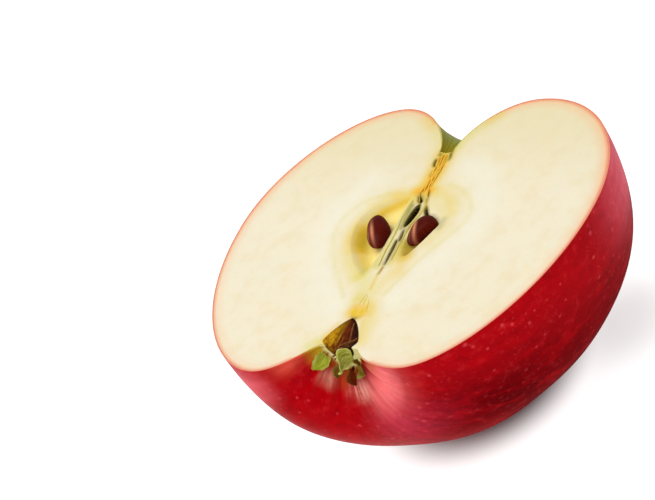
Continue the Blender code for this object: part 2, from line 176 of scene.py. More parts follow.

# Tints of the cut core, in the order in which they lie over each other; the last, dark, is painted shade in
# gaps. Each stroke has how far it reaches from its line, how strong it is, and the line.
CORE_TINTS_AND_SHADE = {
    "fresh": (
        (3.8, 0.6, ((-14.0, 8.0), (-17.0, 0.0), (-16.0, -10.0), (-9.0, -20.0), (-4.0, -25.0))),
        (3.4, 0.6, ((7.0, 10.0), (13.5, 5.0), (15.5, -4.0), (11.0, -14.0), (7.0, -22.0))),
    ),
    "halo": (
        (2.2, 0.65, ((-9.2, 1.0), (-6.6, 3.2), (-3.0, 3.6), (0.0, 4.6), (4.0, 3.4), (7.4, 1.2),
                (8.8, -2.0))),
        (2.0, 0.60, ((-9.6, 0.0), (-11.4, -4.0), (-10.6, -8.6), (-8.0, -12.6), (-4.6, -16.4))),
        (2.4, 0.45, ((4.4, 1.0), (6.4, -0.6), (8.8, -4.6), (7.4, -8.6))),
        (2.0, 0.42, ((4.6, -12.4), (3.2, -16.4), (1.6, -20.5))),
        (2.4, 0.60, ((0.0, 13.5), (0.2, 9.0), (0.0, 5.0))),
        (1.7, 0.60, ((-1.0, -22.0), (1.4, -23.0), (3.2, -25.0), (4.2, -28.6), (5.0, -32.4))),
    ),
    "gold": (
        (0.70, 0.85, ((-2.6, 2.9), (-5.6, 1.9), (-8.2, 0.2), (-9.6, -3.0), (-9.4, -6.4), (-8.0, -9.4))),
        (1.2, 0.45, ((-7.6, -9.8), (-6.2, -12.0), (-4.8, -13.6))),
        (2.1, 1.00, ((0.0, 14.0), (0.2, 11.0), (0.2, 8.0), (0.0, 5.0))),
        (1.9, 1.00, ((-0.5, -25.2), (0.4, -25.9), (1.3, -25.4))),
        (0.8, 0.40, ((2.0, -26.2), (3.0, -28.8), (3.9, -32.0))),
        (0.4, 0.6, ((0.0, -14.4), (0.1, -17.0), (0.3, -19.8))),
        (0.7, 0.5, ((-2.4, -28.0), (-4.0, -31.0), (-3.6, -33.0))),
        (1.9, 0.80, ((-1.6, 4.3), (0.0, 5.2), (1.2, 4.4))),
        (1.5, 0.30, ((4.0, -13.4), (4.8, -16.2))),
        (1.6, 0.45, ((-5.4, 3.4), (-2.6, 3.0), (-1.6, 3.4))),
        (1.7, 1.00, ((-9.7, -3.8), (-9.3, -6.4), (-8.2, -8.8))),
        (2.0, 0.85, ((2.4, -9.0), (2.9, -10.6), (3.6, -12.0))),
    ),
    "orange": (
        (0.8, 0.75, ((-1.5, 4.4), (0.0, 5.2), (1.2, 4.5))),
        (0.9, 0.55, ((0.5, 10.0), (0.2, 6.0))),
        (0.6, 0.35, ((-1.0, -24.0), (0.6, -24.2))),
    ),
    "green": (
        (1.7, 0.75, ((-3.0, -13.4), (-3.4, -16.2))),
        (2.2, 0.45, ((-1.9, -17.6), (-0.8, -21.8))),
        (0.9, 0.65, ((-1.7, 2.2), (-1.6, -8.0), (-1.4, -14.5))),
        (0.8, 0.50, ((1.4, -5.5), (1.4, -13.6))),
        (0.55, 0.30, ((-7.4, 4.6), (-12.4, 2.4), (-15.0, -0.6), (-15.3, -5.0), (-13.4, -10.0),
                (-9.0, -16.0), (-4.6, -21.6))),
        (0.6, 0.30, ((5.0, 5.6), (8.8, 3.8), (12.0, 0.4), (13.2, -3.0), (11.4, -7.2), (8.6, -11.4),
                (6.0, -16.6), (4.0, -21.4))),
        (1.8, 0.55, ((-3.4, -32.0), (-6.0, -33.2))),
        (1.6, 0.40, ((-2.2, 16.6), (-5.0, 20.4), (-9.0, 23.6))),
        (1.5, 0.50, ((2.0, 15.6), (4.0, 19.4), (7.6, 23.0))),
    ),
    "olive": (
        (0.5, 0.25, ((-0.5, -26.4), (0.5, -26.7), (1.3, -26.6))),
        (0.7, 0.55, ((-0.6, 3.5), (0.3, 2.6))),
        (1.2, 0.25, ((-9.4, -5.0), (-8.8, -7.4))),
        (0.6, 0.75, ((-1.2, 1.0), (-1.1, -1.6), (-0.7, -4.6))),
        (1.5, 0.50, ((2.0, -8.4), (2.8, -9.8), (3.3, -10.8))),
        (0.5, 0.9, ((-1.0, 15.8), (-1.1, 13.8))),
        (0.5, 0.9, ((1.0, 15.6), (1.4, 13.6), (1.6, 12.4))),
        (0.8, 0.35, ((8.0, -3.4), (8.0, -5.4))),
        (0.4, 0.6, ((1.0, 4.3), (1.5, 3.0), (1.9, 1.9))),
        (0.7, 0.60, ((0.1, -4.4), (0.3, -7.8), (0.0, -13.4))),
        (0.35, 0.6, ((0.0, -13.0), (0.1, -16.0))),
        (0.35, 0.4, ((-0.4, 10.2), (-0.8, 8.6))),
        (0.3, 0.4, ((0.2, 8.2), (-0.1, 6.2))),
    ),
    "pale": (
        (0.7, 0.85, ((1.2, 2.2), (2.0, 0.8), (2.1, -0.8), (1.7, -2.9), (1.2, -4.6))),
        (0.55, 0.4, ((-2.5, 0.6), (-2.6, -4.0), (-2.3, -9.0), (-1.9, -14.0))),
        (0.45, 0.5, ((0.9, -5.0), (0.9, -9.0), (1.1, -13.0))),
        (0.6, 0.7, ((0.1, 15.2), (0.1, 14.0))),
    ),
    # Painted shade in the small gaps of the core
    "dark": (
        (0.28, 0.75, ((-1.3, 12.3), (-1.0, 11.1))),
        (0.25, 0.45, ((1.3, 13.8), (1.6, 12.9))),
        (0.22, 0.5, ((1.1, 4.0), (1.5, 2.9))),
        (0.3, 0.55, ((-0.1, -26.9), (0.7, -26.9))),
    ),
}

# Seeds by their outline in the cut plane's frame, in order round the seed, from its pointed end
SEEDS = {
    "seed_left": {
        "replaces": "seed_left", "height": -0.4, "thickness": 2.7, "highlight_side": (-0.87, -0.49),
        "outline": ((-3.9, -9.2), (-3.1, -8.7), (-2.8, -7.0), (-2.9, -5.4), (-3.6, -4.1), (-4.8, -2.8),
            (-6.2, -1.6), (-7.6, -1.0), (-8.6, -1.7), (-8.8, -3.2), (-8.0, -5.4), (-6.7, -7.6),
            (-5.3, -8.9))},
    "seed_right": {
        "replaces": "seed_right", "height": -0.3, "thickness": 2.7, "highlight_side": (-0.95, -0.31),
        "outline": ((3.6, -9.1), (4.6, -8.4), (5.6, -6.9), (6.4, -5.4), (7.0, -4.2), (6.0, -2.9),
            (4.7, -2.1), (3.3, -2.2), (2.3, -3.2), (1.9, -5.0), (2.0, -7.0), (2.6, -8.6))},
}
SEED_STEPS = 72
SEED_RINGS = 40
SEED_HALF_WIDTH = 2.2
SEED_FULLNESS = 0.9

# Painted highlight stripes along a seed: their strengths, middles and reaches across it, and the same
# middle and reach along it for both, as shares of its half length
SEED_HIGHLIGHT_STRIPES = ((1.0, 0.38, 0.16), (0.45, 0.82, 0.11))
SEED_HIGHLIGHT_MIDDLE, SEED_HIGHLIGHT_REACH = 0.8, 0.6

# Sepals by the node that each replaces: the turn, the base's distance from the axis, the lean of the base,
# the curl, the length, the width, the tone from green (0) to brown (1), and the paleness; angles in degrees
SEPALS = {
    "sepal_right": (12.0, 4.0, -55.0, 100.0, 4.2, 4.2, 0.22, 0.80),
    "sepal_olive": (27.0, 5.0, 15.0, 65.0, 3.0, 3.4, 0.72, 0.25),
    "sepal_brown": (64.0, 4.5, 10.0, 60.0, 3.2, 2.6, 1.0, 0.03),
    "sepal_under": (103.0, 3.9, 0.0, 60.0, 2.2, 2.1, 0.85, 0.15),
    "sepal_left": (155.0, 3.4, 0.0, 80.0, 3.6, 2.7, 0.0, 0.25),
}
SEPAL_BASE_CLEARANCE = 0.9
SEPAL_BASE_SHARE = 0.18
SEPAL_CUP = 0.35
SEPAL_WAVE = 0.32
SEPAL_RIPPLE = 0.10
SEPAL_RAGGEDNESS = 0.06
SEPAL_LEAST_HALF_WIDTH = 0.12
SEPAL_STEPS = 30
SEPAL_HALVES = 8

# Fibres of the core: the radius, the tone from golden to brown, and the line at the cut plane
FIBRES = (
    (0.19, 0.1, ((-0.7, 14.0), (-0.5, 11.0), (-0.4, 8.0), (-0.5, 5.4), (-0.9, 4.0))),
    (0.22, 0.15, ((-0.3, 14.2), (-0.1, 11.5), (0.1, 9.0), (-0.1, 6.4), (-0.3, 4.4))),
    (0.21, 0.0, ((0.1, 14.2), (0.4, 11.8), (0.3, 9.0), (0.4, 6.5), (0.4, 4.6))),
    (0.17, 0.35, ((0.6, 14.2), (0.5, 12.0), (0.8, 9.6), (0.4, 7.6), (0.0, 6.2))),
    (0.19, 0.1, ((0.9, 13.6), (0.9, 11.2), (0.9, 8.6), (0.8, 6.2), (1.0, 4.8))),
    (0.14, 0.4, ((-1.0, 13.6), (-0.8, 12.0), (-0.6, 10.0), (-0.8, 7.4))),
    (0.09, 0.45, ((0.8, 5.2), (1.0, 4.0), (1.5, 2.6), (2.0, 1.4), (2.4, 0.4))),
    (0.09, 0.5, ((-0.8, 4.4), (-0.6, 3.2), (0.1, 2.0), (0.3, 1.4))),
    (0.07, 0.4, ((0.0, -14.0), (0.1, -17.5), (0.1, -20.5), (-0.3, -23.4), (-1.0, -26.0))),
    (0.07, 0.2, ((0.1, -15.4), (0.3, -19.0), (0.5, -22.0), (0.8, -24.4), (1.2, -26.4))),
    (0.06, 0.3, ((0.3, -18.6), (0.9, -21.4), (1.9, -24.2), (2.6, -27.0), (3.3, -29.6))),
)

# The fibres' usual height, their ripple up and down and to the sides, and the dip of their ends
FIBRE_HEIGHT, FIBRE_RIPPLE, FIBRE_SWAY, FIBRE_DIP = -0.10, 0.08, 0.05, 0.35

# Thin walls between the seed pockets: the depth, the thickness, the top and the line
MEMBRANES = (
    (1.1, 0.46, 0.02, ((1.2, 2.4), (1.8, 1.4), (2.1, 0.2), (2.0, -1.2), (1.6, -2.7), (1.1, -4.0),
        (0.9, -5.6))),
    (0.9, 0.36, -0.06, ((1.1, -5.0), (1.0, -7.4), (1.0, -9.8), (1.1, -12.6))),
    (0.9, 0.40, -0.04, ((-1.5, 2.2), (-1.7, 0.2), (-1.8, -2.2), (-1.5, -4.6), (-1.3, -7.4),
        (-1.3, -10.6), (-1.0, -14.0))),
)

# Filaments in the hollow behind the calyx: how many, how far round they stand, their lengths, feet and
# leans, how far from the axis they start and end, and the radii along them and at their tips
STAMENS = 36
STAMEN_TURNS = (0.05, 0.62)
STAMEN_LENGTHS = (2.6, 4.2)
STAMEN_FEET = (-31.6, -30.2)
STAMEN_LEANS = (-0.5, 0.5)
STAMEN_PLACES = (3.1, 0.9)
STAMEN_RADII = (0.11, 0.06)
STAMEN_TIP_RADII = (0.10, 0.14, 0.07)
STAMEN_SEED = 7

# The style in the midst of the filaments
STYLE_LINE = ((0.1, -27.3, -0.9), (0.5, -29.0, -0.9), (0.9, -30.8, -1.1), (1.0, -32.6, -1.5))
STYLE_RADII = (0.16, 0.10)

# Where the points of the cut face lie close together: the core's box, its half width at its widest and how
# fast that shrinks with the height, and the strand's half width
CORE_LOW, CORE_HIGH = (-12.5, -27.5), (12.5, 16.5)
FACE_LOW, FACE_HIGH = (-41.0, -41.0), (41.0, 30.0)
CORE_HALF_WIDTH = 12.0
CORE_WIDEST_HEIGHT = -3.0
CORE_TAPER = 0.30
STRAND_HALF_WIDTH = 3.2

# Lines of points along the rim of the cut face, how far other points keep from the rim and from the
# border, how far from the border the relief fades out, and the distance from the rim given to the wall
RIM_LINES = (0.3, 0.7, 1.2, 1.9, 2.7)
RIM_LINE_LEAST_SHARE = 0.93
RIM_CLEARANCE = 3.2
BORDER_CLEARANCE = 0.12
BORDER_FADE = 0.5
FAR_FROM_RIM = 9.0

SMOOTH_ANGLE = math.radians(38.0)
FLESH_SMOOTH_ANGLE = math.radians(55.0)
SEPAL_SMOOTH_ANGLE = math.radians(60.0)
TAU = 2.0 * math.pi

# Camera at the photograph's viewing angle: its right, up and back directions and its place
CAMERA_RIGHT = (0.78249702, 0.41227999, -0.46660863)
CAMERA_UP = (0.04185253, 0.7128656, 0.70005071)
CAMERA_BACK = (0.62124614, -0.56731635, 0.54056025)
CAMERA_PLACE = (0.32934, -0.31934, 0.33739)

# The middle of the half, and each light's size and place from it: the key and fill lights along the
# camera's right, up and back directions, and the light overhead along the part's own axes
MIDDLE = (0.0, 0.0, 0.02)
KEY_SIZE, KEY_OFFSET = 0.45, (-0.4125, 0.4675, 0.1375)
FILL_SIZE, FILL_OFFSET = 0.5, (-0.21, 0.0, 0.7)
TOP_SIZE, TOP_OFFSET = 0.8, (-0.20, 0.0, 0.80)

# Middle of the painted shadow, a spot of the floor whose glow dies round the place where the half rests,
# and of a fainter painted shadow beside it
PAINTED_SHADOW_MIDDLE = (-0.0026, -0.0017, 0.0)
FAINT_SHADOW_MIDDLE = (0.023, 0.012, 0.0)
FAINT_SHADOW_GLOW = 0.72
FAINT_SHADOW_REACH = (0.002, 0.017)
FLOOR_DROP = 0.00002
FLOOR_CORNERS = 96
SENSOR_WIDTH = 36.0

# Shades that the finishes mix with the colours in the settings, as they show on a screen
SHADES = {
    "skin_mottle": (214, 52, 56), "lip_pale": (222, 220, 148), "pit_brown": (150, 126, 20),
    "edge_salmon": (200, 104, 80), "edge_peach": (220, 144, 112), "edge_olive": (186, 168, 88),
    "flesh_cloud": (215, 210, 192), "flesh_blotch": (212, 196, 156), "flesh_grain": (196, 180, 132),
    "flesh_upper": (206, 194, 150), "flesh_blush": (218, 132, 96), "pocket_wall": (242, 216, 98),
    "hollow_brown": (98, 34, 6), "hollow_gold": (250, 188, 28), "hollow_blot": (122, 50, 10),
    "hollow_dark": (36, 7, 4), "hollow_lip": (214, 206, 132), "seed_streak": (40, 5, 3),
    "fibre_gold": (220, 172, 30), "fibre_brown": (128, 90, 14), "filament_dark": (58, 20, 8),
    "filament_light": (150, 96, 44), "filament_spot": (48, 14, 6), "sepal_stripe": (78, 66, 8),
    "floor_dark": (174, 174, 175), "floor_light": (178, 178, 179),
    "black": (0, 0, 0), "white": (255, 255, 255),
}


def display_colour(red, green, blue):
    """A colour given as it shows on a screen, from 0 to 255, in the linear values of shaders."""
    linear = []
    for level in (red, green, blue):
        share = level / 255.0
        linear.append(share / 12.92 if share <= 0.04045 else ((share + 0.055) / 1.055) ** 2.4)
    return tuple(linear)


def length_property(name, description, default):
    """A length setting in metres."""
    return FloatProperty(name=name, description=description, default=default, min=0.0, unit="LENGTH")


def number_property(name, description, default, unit="NONE"):
    """A plain number, or the power of a light."""
    return FloatProperty(name=name, description=description, default=default, unit=unit)


def colour_property(name, description, screen):
    """A colour setting, whose default is given as it shows on a screen."""
    return FloatVectorProperty(
        name=name, description=description, default=display_colour(*screen), subtype="COLOR",
        size=3, min=0.0, max=1.0)


class AppleSizes(bpy.types.PropertyGroup):
    """Sizes of the dressed pieces."""

    turn_steps: IntProperty(
        name="Turn steps", description="Steps of the skin round its half turn", default=200, min=40)
    skin_thickness: length_property("Skin thickness", "How thick the coloured skin is at the cut", 0.00026)
    core_spacing: length_property("Core spacing", "Distance between points of the cut core", 0.00022)
    flesh_spacing: length_property("Flesh spacing", "Distance between points of the cut flesh", 0.001)
    lenticel_spacing: length_property("Dot spacing", "Size of the cells that hold the skin's dots", 0.0023)
    grain_size: length_property("Grain size", "Size of the grain of the cut flesh", 0.00032)
    sepal_thickness: length_property("Sepal thickness", "How thick the dry sepals are", 0.00028)


class AppleColours(bpy.types.PropertyGroup):
    """Colours of the skin, the flesh and the core."""

    skin_red: colour_property("Skin red", "Main colour of the skin", (156, 0, 9))
    # Also the colour of the painted shade on the lower right of the skin
    skin_deep: colour_property("Skin deep red", "Darker streaks of the skin", (86, 0, 4))
    skin_bright: colour_property("Skin bright red", "Brighter streaks of the skin", (184, 2, 11))
    skin_pink: colour_property("Skin pink", "Light streaks of the skin", (232, 96, 98))
    skin_olive: colour_property("Cavity olive", "Stem cavity and calyx basin", (128, 132, 38))
    skin_dot: colour_property("Skin dots", "Small pale dots of the skin", (216, 74, 82))
    flesh: colour_property("Flesh", "Cut flesh", (218, 208, 181))
    flesh_rim: colour_property("Flesh rim", "Flesh next to the skin", (222, 164, 118))
    core_fresh: colour_property("Fresh flesh", "Whiter flesh round the core", (218, 214, 195))
    core_halo: colour_property("Core halo", "Yellow flesh round the core", (209, 190, 102))
    core_gold: colour_property("Core gold", "Walls of the core", (212, 174, 38))
    core_orange: colour_property("Core orange", "Strand from the stem", (224, 158, 34))
    core_green: colour_property("Core green", "Yellow-green parts of the core", (200, 188, 84))
    core_olive: colour_property("Core olive", "Dark green parts of the core", (128, 116, 14))
    core_pale: colour_property("Core membranes", "Pale walls between the seeds", (188, 170, 84))
    # Colour of the painted shade in the gaps of the core
    core_dark: colour_property("Core gaps", "Dark gaps of the core", (28, 14, 1))
    seed: colour_property("Seeds", "Seed coat", (80, 15, 4))
    # Colour of the painted highlight on one side of each seed
    seed_highlight: colour_property("Seed light side", "Lighter side of the seed coat", (214, 134, 100))
    sepal_green: colour_property("Sepal green", "Fresher sepals", (140, 146, 14))
    sepal_pale: colour_property("Sepal pale", "Pale folds of the sepals", (210, 212, 120))
    sepal_brown: colour_property("Sepal brown", "Dry sepals", (80, 22, 4))


class AppleStudio(bpy.types.PropertyGroup):
    """Floor, lights and camera."""

    floor_radius: length_property("Floor radius", "Radius of the pale floor", 4.0)
    key_power: number_property("Key light", "Power of the main light", 0.6, "POWER")
    top_power: number_property("Top light", "Power of the light overhead", 3.6, "POWER")
    fill_power: number_property("Fill light", "Power of the fill light", 1.8, "POWER")
    sky_level: number_property("Sky level", "Brightness of the white surroundings", 0.60)
    glow: number_property("Floor glow", "Brightness of the lit floor", 0.86)
    # Where the painted shadow round the half fades into the floor's glow
    shadow_fade_start: length_property("Glow start", "Distance from the spot at which the glow starts", 0.0130)
    shadow_fade_end: length_property("Glow full", "Distance from the spot at which the glow is full", 0.0234)
    lens: number_property("Lens", "Focal length of the camera in millimetres", 170.89)


class Signal:
    """A socket of a material's nodes that adds the nodes of an expression when it is calculated with."""

    def __init__(self, finish, socket):
        self.finish = finish
        self.socket = socket

    def math(self, operation, *values):
        """A Math node on this value and others."""
        inputs = dict(enumerate((self, *values)))
        return self.finish.node("ShaderNodeMath", {"operation": operation}, inputs)

    def __add__(self, other):
        return self.math("ADD", other)

    __radd__ = __add__

    def __sub__(self, other):
        return self.math("SUBTRACT", other)

    def __rsub__(self, other):
        return self.math("MULTIPLY", -1.0).math("ADD", other)

    def __mul__(self, other):
        return self.math("MULTIPLY", other)

    __rmul__ = __mul__

    def __truediv__(self, other):
        return self.math("DIVIDE", other)

    def __abs__(self):
        return self.math("ABSOLUTE")

    def limited(self):
        """This value kept between 0 and 1."""
        return self.finish.node("ShaderNodeClamp", {}, {"Value": self})

    def between(self, low, high):
        """0 below low and 1 above high, with a smooth step between them."""
        return self.finish.node(
            "ShaderNodeMapRange", {"interpolation_type": "SMOOTHSTEP"},
            {"Value": self, "From Min": low, "From Max": high})

    def near(self, middle, reach):
        """1 at the middle and 0 from the reach on, to either side."""
        return 1.0 - abs(self - middle).between(0.0, reach)


class Finish:
    """A material under construction: one Principled shader and the nodes that feed it."""

    def __init__(self, name):
        self.material = bpy.data.materials.new(name)
        self.material.use_nodes = True
        self.tree = self.material.node_tree
        self.shader = self.tree.nodes["Principled BSDF"]

    def node(self, kind, settings, inputs, output=0):
        """A node with its settings made first, then the values or links of its sockets."""
        made = self.tree.nodes.new(kind)
        for name, setting in settings.items():
            setattr(made, name, setting)
        for name, value in inputs.items():
            self.feed(made.inputs[name], value)
        return Signal(self, made.outputs[output])

    def feed(self, socket, value):
        """Link a signal to a socket, or set its own value; a colour may be a name in SHADES."""
        if isinstance(value, str):
            value = display_colour(*SHADES[value])
        if isinstance(value, Signal):
            self.tree.links.new(value.socket, socket)
        elif hasattr(value, "__len__") and len(socket.default_value) == len(value) + 1:
            socket.default_value = (*value, 1.0)
        else:
            socket.default_value = value

    def surface(self, **values):
        """Set or link the shader's sockets, named with underscores for spaces."""
        for name, value in values.items():
            self.feed(self.shader.inputs[name.replace("_", " ")], value)
        return self.material

    def mesh_value(self, name):
        """A value that the mesh holds at its points."""
        return self.node("ShaderNodeAttribute", {"attribute_name": name}, {}, "Fac")

    def place(self):
        """The point of the surface in metres."""
        return self.node("ShaderNodeTexCoord", {}, {}, "Object")

    def noise(self, vector, scale, detail=3.0, roughness=0.55):
        """Noise from 0 to 1 in cells of 1/scale."""
        return self.node(
            "ShaderNodeTexNoise", {"noise_dimensions": "3D"},
            {"Vector": vector, "Scale": scale, "Detail": detail, "Roughness": roughness}, "Fac")

    def streaks(self, across, along, shift, detail, roughness=0.55):
        """Noise drawn out by two values of the mesh."""
        place = self.node("ShaderNodeCombineXYZ", {}, {"X": across, "Y": along, "Z": shift})
        return self.noise(place, 1.0, detail, roughness)

    def cell_distance(self, vector, scale, randomness):
        """Distance from the middle of the nearest cell, in cells of 1/scale."""
        cells = {"Vector": vector, "Scale": scale, "Randomness": randomness}
        return self.node("ShaderNodeTexVoronoi", {"feature": "F1"}, cells, "Distance")

    def distance_from(self, point):
        """Distance of the surface from a point in metres."""
        ends = {0: self.place(), 1: point}
        return self.node("ShaderNodeVectorMath", {"operation": "DISTANCE"}, ends, "Value")

    def tint(self, share, first, second):
        """The first colour mixed with the second by share."""
        return self.node(
            "ShaderNodeMix", {"data_type": "RGBA", "blend_type": "MIX", "clamp_factor": True},
            {0: share, 6: first, 7: second}, 2)

    def layers(self, colour, *layers):
        """A colour under others, each given by its share and its shade."""
        for share, shade in layers:
            colour = self.tint(share, colour, shade)
        return colour

    def bump(self, height, depth, below=None):
        """A Normal that shows the height, which is 1 at so many metres."""
        inputs = {"Height": height, "Distance": depth, "Strength": 1.0}
        if below is not None:
            inputs["Normal"] = below
        return self.node("ShaderNodeBump", {}, inputs)


def blend_values(first, second, share):
    """The value or pair that lies at share of the way from first to second."""
    if isinstance(first, tuple):
        return tuple(blend_values(a, b, share) for a, b in zip(first, second))
    return first + (second - first) * share


def beside(point, outward, upward):
    """The (radius, height) pair that lies so far outward and upward of a point."""
    return point[0] + outward, point[1] + upward


def arc(corners, steps):
    """Points of one curved stretch of a profile, without its first point."""
    start, handle, end_handle, end = (np.array(corner) for corner in corners)
    t = np.arange(1, steps + 1)[:, None] / steps
    return (start * (1 - t) ** 3 + 3 * handle * t * (1 - t) ** 2
            + 3 * end_handle * t ** 2 * (1 - t) + end * t ** 3)


def profile(share, arc_steps):
    """Profile between the right rim (share 0) and the left rim (share 1), with each point's place."""
    rim = {key: blend_values(value, RIM_LEFT[key], share) for key, value in RIM_RIGHT.items()}
    pit, shoulder, equator, foot = (rim[key] for key in ("pit", "shoulder", "equator", "foot"))
    lip, mouth, bulge = (rim[key] for key in ("lip", "mouth", "bulge"))
    before_shoulder, after_shoulder = rim["shoulder_handles"]
    before_equator, after_equator = rim["equator_handles"]
    before_foot, after_foot = rim["foot_handles"]
    tip = (0.0, TUBE_TIP)
    shift = UNDERSIDE_EQUATOR_SHIFT * 4.0 * share * (1.0 - share)
    above_equator = beside(equator, 0.0, before_equator)
    below_equator = beside(equator, 0.0, -after_equator)
    equator = beside(equator, 0.0, shift)
    stretches = (
        (pit, beside(pit, *rim["pit_handle"]), beside(shoulder, -before_shoulder, 0.0), shoulder),
        (shoulder, beside(shoulder, after_shoulder, 0.0), above_equator, equator),
        (equator, below_equator, beside(foot, before_foot, 0.0), foot),
        (foot, beside(foot, -after_foot, 0.0), beside(lip, *rim["lip_handle"]), lip),
        (lip, beside(lip, *LIP_END_HANDLE), beside(mouth, *MOUTH_HANDLES[0]), mouth),
        (mouth, beside(mouth, *MOUTH_HANDLES[1]), beside(bulge, *BULGE_HANDLES[0]), bulge),
        (bulge, beside(bulge, *BULGE_HANDLES[1]), beside(tip, *TIP_HANDLE), tip),
    )
    points = [np.array([pit])] + [arc(corners, steps) for corners, steps in zip(stretches, arc_steps)]
    places = [np.zeros(1)]
    places += [number + np.arange(1, steps + 1) / steps for number, steps in enumerate(arc_steps)]
    return np.concatenate(points), np.concatenate(places)


def bell(value, middle, reach):
    """1 at the middle, dying away over the reach."""
    return np.exp(-(((value - middle) / reach) ** 2))


def relief(turn, places):
    """How far the skin stands out from the plain turned shape."""
    height = np.zeros(len(places))
    for count, phase, rise, place, reach in WAVES:
        height += rise * math.sin(count * turn + phase) * bell(places, place, reach)
    for turn_deg, turn_reach, place, place_reach, rise in BULGES:
        height += rise * bell(math.degrees(turn), turn_deg, turn_reach) * bell(places, place, place_reach)
    return height


def raised_profile(turn, arc_steps, sink=None):
    """The profile at one turn with its relief, sunk by a depth at each place, and the places."""
    points, places = profile((1.0 - math.cos(turn)) / 2.0, arc_steps)
    along = np.concatenate((points[1:], points[-1:])) - np.concatenate((points[:1], points[:-1]))
    along /= np.linalg.norm(along, axis=1)[:, None]
    height = relief(turn, places)
    if sink is not None:
        height = height - sink(places)
    return points + np.stack((-along[:, 1] * height, along[:, 0] * height), axis=1), places


def turned_grid(turns, arc_steps, sink=None):
    """Points of the turned wall by turn and row, and each row's place."""
    columns = []
    for turn in turns:
        pairs, places = raised_profile(turn, arc_steps, sink)
        radius, height = pairs.T
        columns.append(np.stack((radius * math.cos(turn), height,
                                 -radius * math.sin(turn) * HALF_DEPTH_RATIO), axis=1))
    grid = np.array(columns)
    lowest = -CUT_HEIGHT + (sink(places) if sink is not None else np.zeros(len(places)))
    grid[..., 2] = np.maximum(grid[..., 2], lowest[None, :])
    return grid, places


def in_row(points):
    """Points of the cut plane's frame in millimetres as points of the part's frame in metres."""
    return (np.asarray(points, float) + (0.0, -REST_HEIGHT_ON_AXIS, CUT_HEIGHT)) * MM


def grid_faces(rows, columns, start=0, flip=False, closed=False):
    """Quads of a grid of points that are numbered row by row from start; closed rows are rings."""
    index = start + np.arange(rows * columns).reshape(rows, columns)
    if closed:
        index = np.column_stack((index, index[:, 0]))
    corners = (index[:-1, :-1], index[:-1, 1:], index[1:, 1:], index[1:, :-1])
    faces = np.stack([corner.ravel() for corner in corners], axis=1)
    return (faces[:, ::-1] if flip else faces).tolist()


def strip_faces(first, second):
    """Quads between two like lines of point numbers."""
    return [[a, b, d, c] for a, b, c, d in zip(first, first[1:], second, second[1:])]


def build_piece(name, points, faces, materials, values=None, kinds=None, sharp=SMOOTH_ANGLE):
    """A smooth piece from points in the cut plane's frame, its faces, materials and point values."""
    mesh = bpy.data.meshes.new(name)
    mesh.from_pydata(in_row(points).tolist(), [], faces)
    for material in materials:
        mesh.materials.append(material)
    if kinds is not None:
        mesh.polygons.foreach_set("material_index", np.asarray(kinds, np.int32))
    for key, numbers in (values or {}).items():
        attribute = mesh.attributes.new(key, "FLOAT", "POINT")
        attribute.data.foreach_set("value", np.asarray(numbers, np.float32))
    bm = bmesh.new()
    bm.from_mesh(mesh)
    bmesh.ops.recalc_face_normals(bm, faces=bm.faces[:])
    bm.to_mesh(mesh)
    bm.free()
    mesh.shade_smooth()
    mesh.set_sharp_from_angle(angle=sharp)
    piece = bpy.data.objects.new(name, mesh)
    bpy.context.scene.collection.objects.link(piece)
    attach(piece, "root")
    return piece


def closed_line(outline):
    """An outline as a line that ends at its first point."""
    return np.concatenate((outline, outline[:1]))


def spline(corners, steps):
    """Points of smooth stretches, each between the middle two of its four corners."""
    a, b, c, d = (corner[:, None] for corner in corners)
    t = (np.arange(steps) / steps)[None, :, None]
    curve = 0.5 * (2 * b + (c - a) * t + (2 * a - 5 * b + 4 * c - d) * t * t
                   + (3 * b - a - 3 * c + d) * t ** 3)
    return curve.reshape(-1, curve.shape[-1])


def closed_curve(corners, steps):
    """A smooth closed curve through the corners, with the given steps between each two."""
    corners = np.array(corners, float)
    return spline([np.roll(corners, shift, axis=0) for shift in (1, 0, -1, -2)], steps)


def open_curve(corners, steps):
    """A smooth open curve through the corners, with the given steps between each two."""
    corners = np.array(corners, float)
    ends = np.concatenate((2 * corners[:1] - corners[1:2], corners, 2 * corners[-1:] - corners[-2:-1]))
    curve = spline([ends[shift:len(ends) - 3 + shift] for shift in range(4)], steps)
    return np.concatenate((curve, corners[-1:]))


def distance_to(points, line):
    """Distance of each flat point to a line of straight stretches."""
    nearest = np.full(len(points), 1e9)
    for start, end in zip(line[:-1], line[1:]):
        along = end - start
        share = np.clip((points - start) @ along / max(along @ along, 1e-12), 0.0, 1.0)
        offset = points - start - share[:, None] * along
        nearest = np.minimum(nearest, np.hypot(offset[:, 0], offset[:, 1]))
    return nearest


def inside(points, outline):
    """Which flat points lie inside a closed outline."""
    crossings = np.zeros(len(points), int)
    for start, end in zip(outline, np.roll(outline, -1, axis=0)):
        spans = (start[1] > points[:, 1]) != (end[1] > points[:, 1])
        rise = end[1] - start[1] if end[1] != start[1] else 1e-12
        x = start[0] + (points[:, 1] - start[1]) * (end[0] - start[0]) / rise
        crossings += spans & (points[:, 0] < x)
    return crossings % 2 == 1


def depth_within(points, corners):
    """How far each flat point lies within the smooth curve through the corners; below 0 outside it."""
    outline = closed_curve(corners, CURVE_STEPS)
    distance = distance_to(points, closed_line(outline))
    return np.where(inside(points, outline), distance, -distance)


def cut_relief(points):
    """Height of the cut face over its plane: sunk core, hollows and the ridges between them."""
    height = np.zeros(len(points))
    for depth, reach, line in GROOVES:
        height -= depth * bell(distance_to(points, open_curve(line, CURVE_STEPS)), 0.0, reach)
    for depth, wall, _, corners in POCKETS:
        share = np.clip(depth_within(points, corners) / wall, 0.0, 1.0)
        height -= depth * np.sin(math.pi / 2.0 * share) ** 1.3
    for top, width, line in RIDGES:
        away = distance_to(points, open_curve(line, CURVE_STEPS))
        height = np.maximum(height, top - 0.5 * (away / width) ** 2)
    for rise, pace, phase in KNIFE_WAVES:
        height += rise * np.sin(points @ np.array(pace) + phase)
    return height


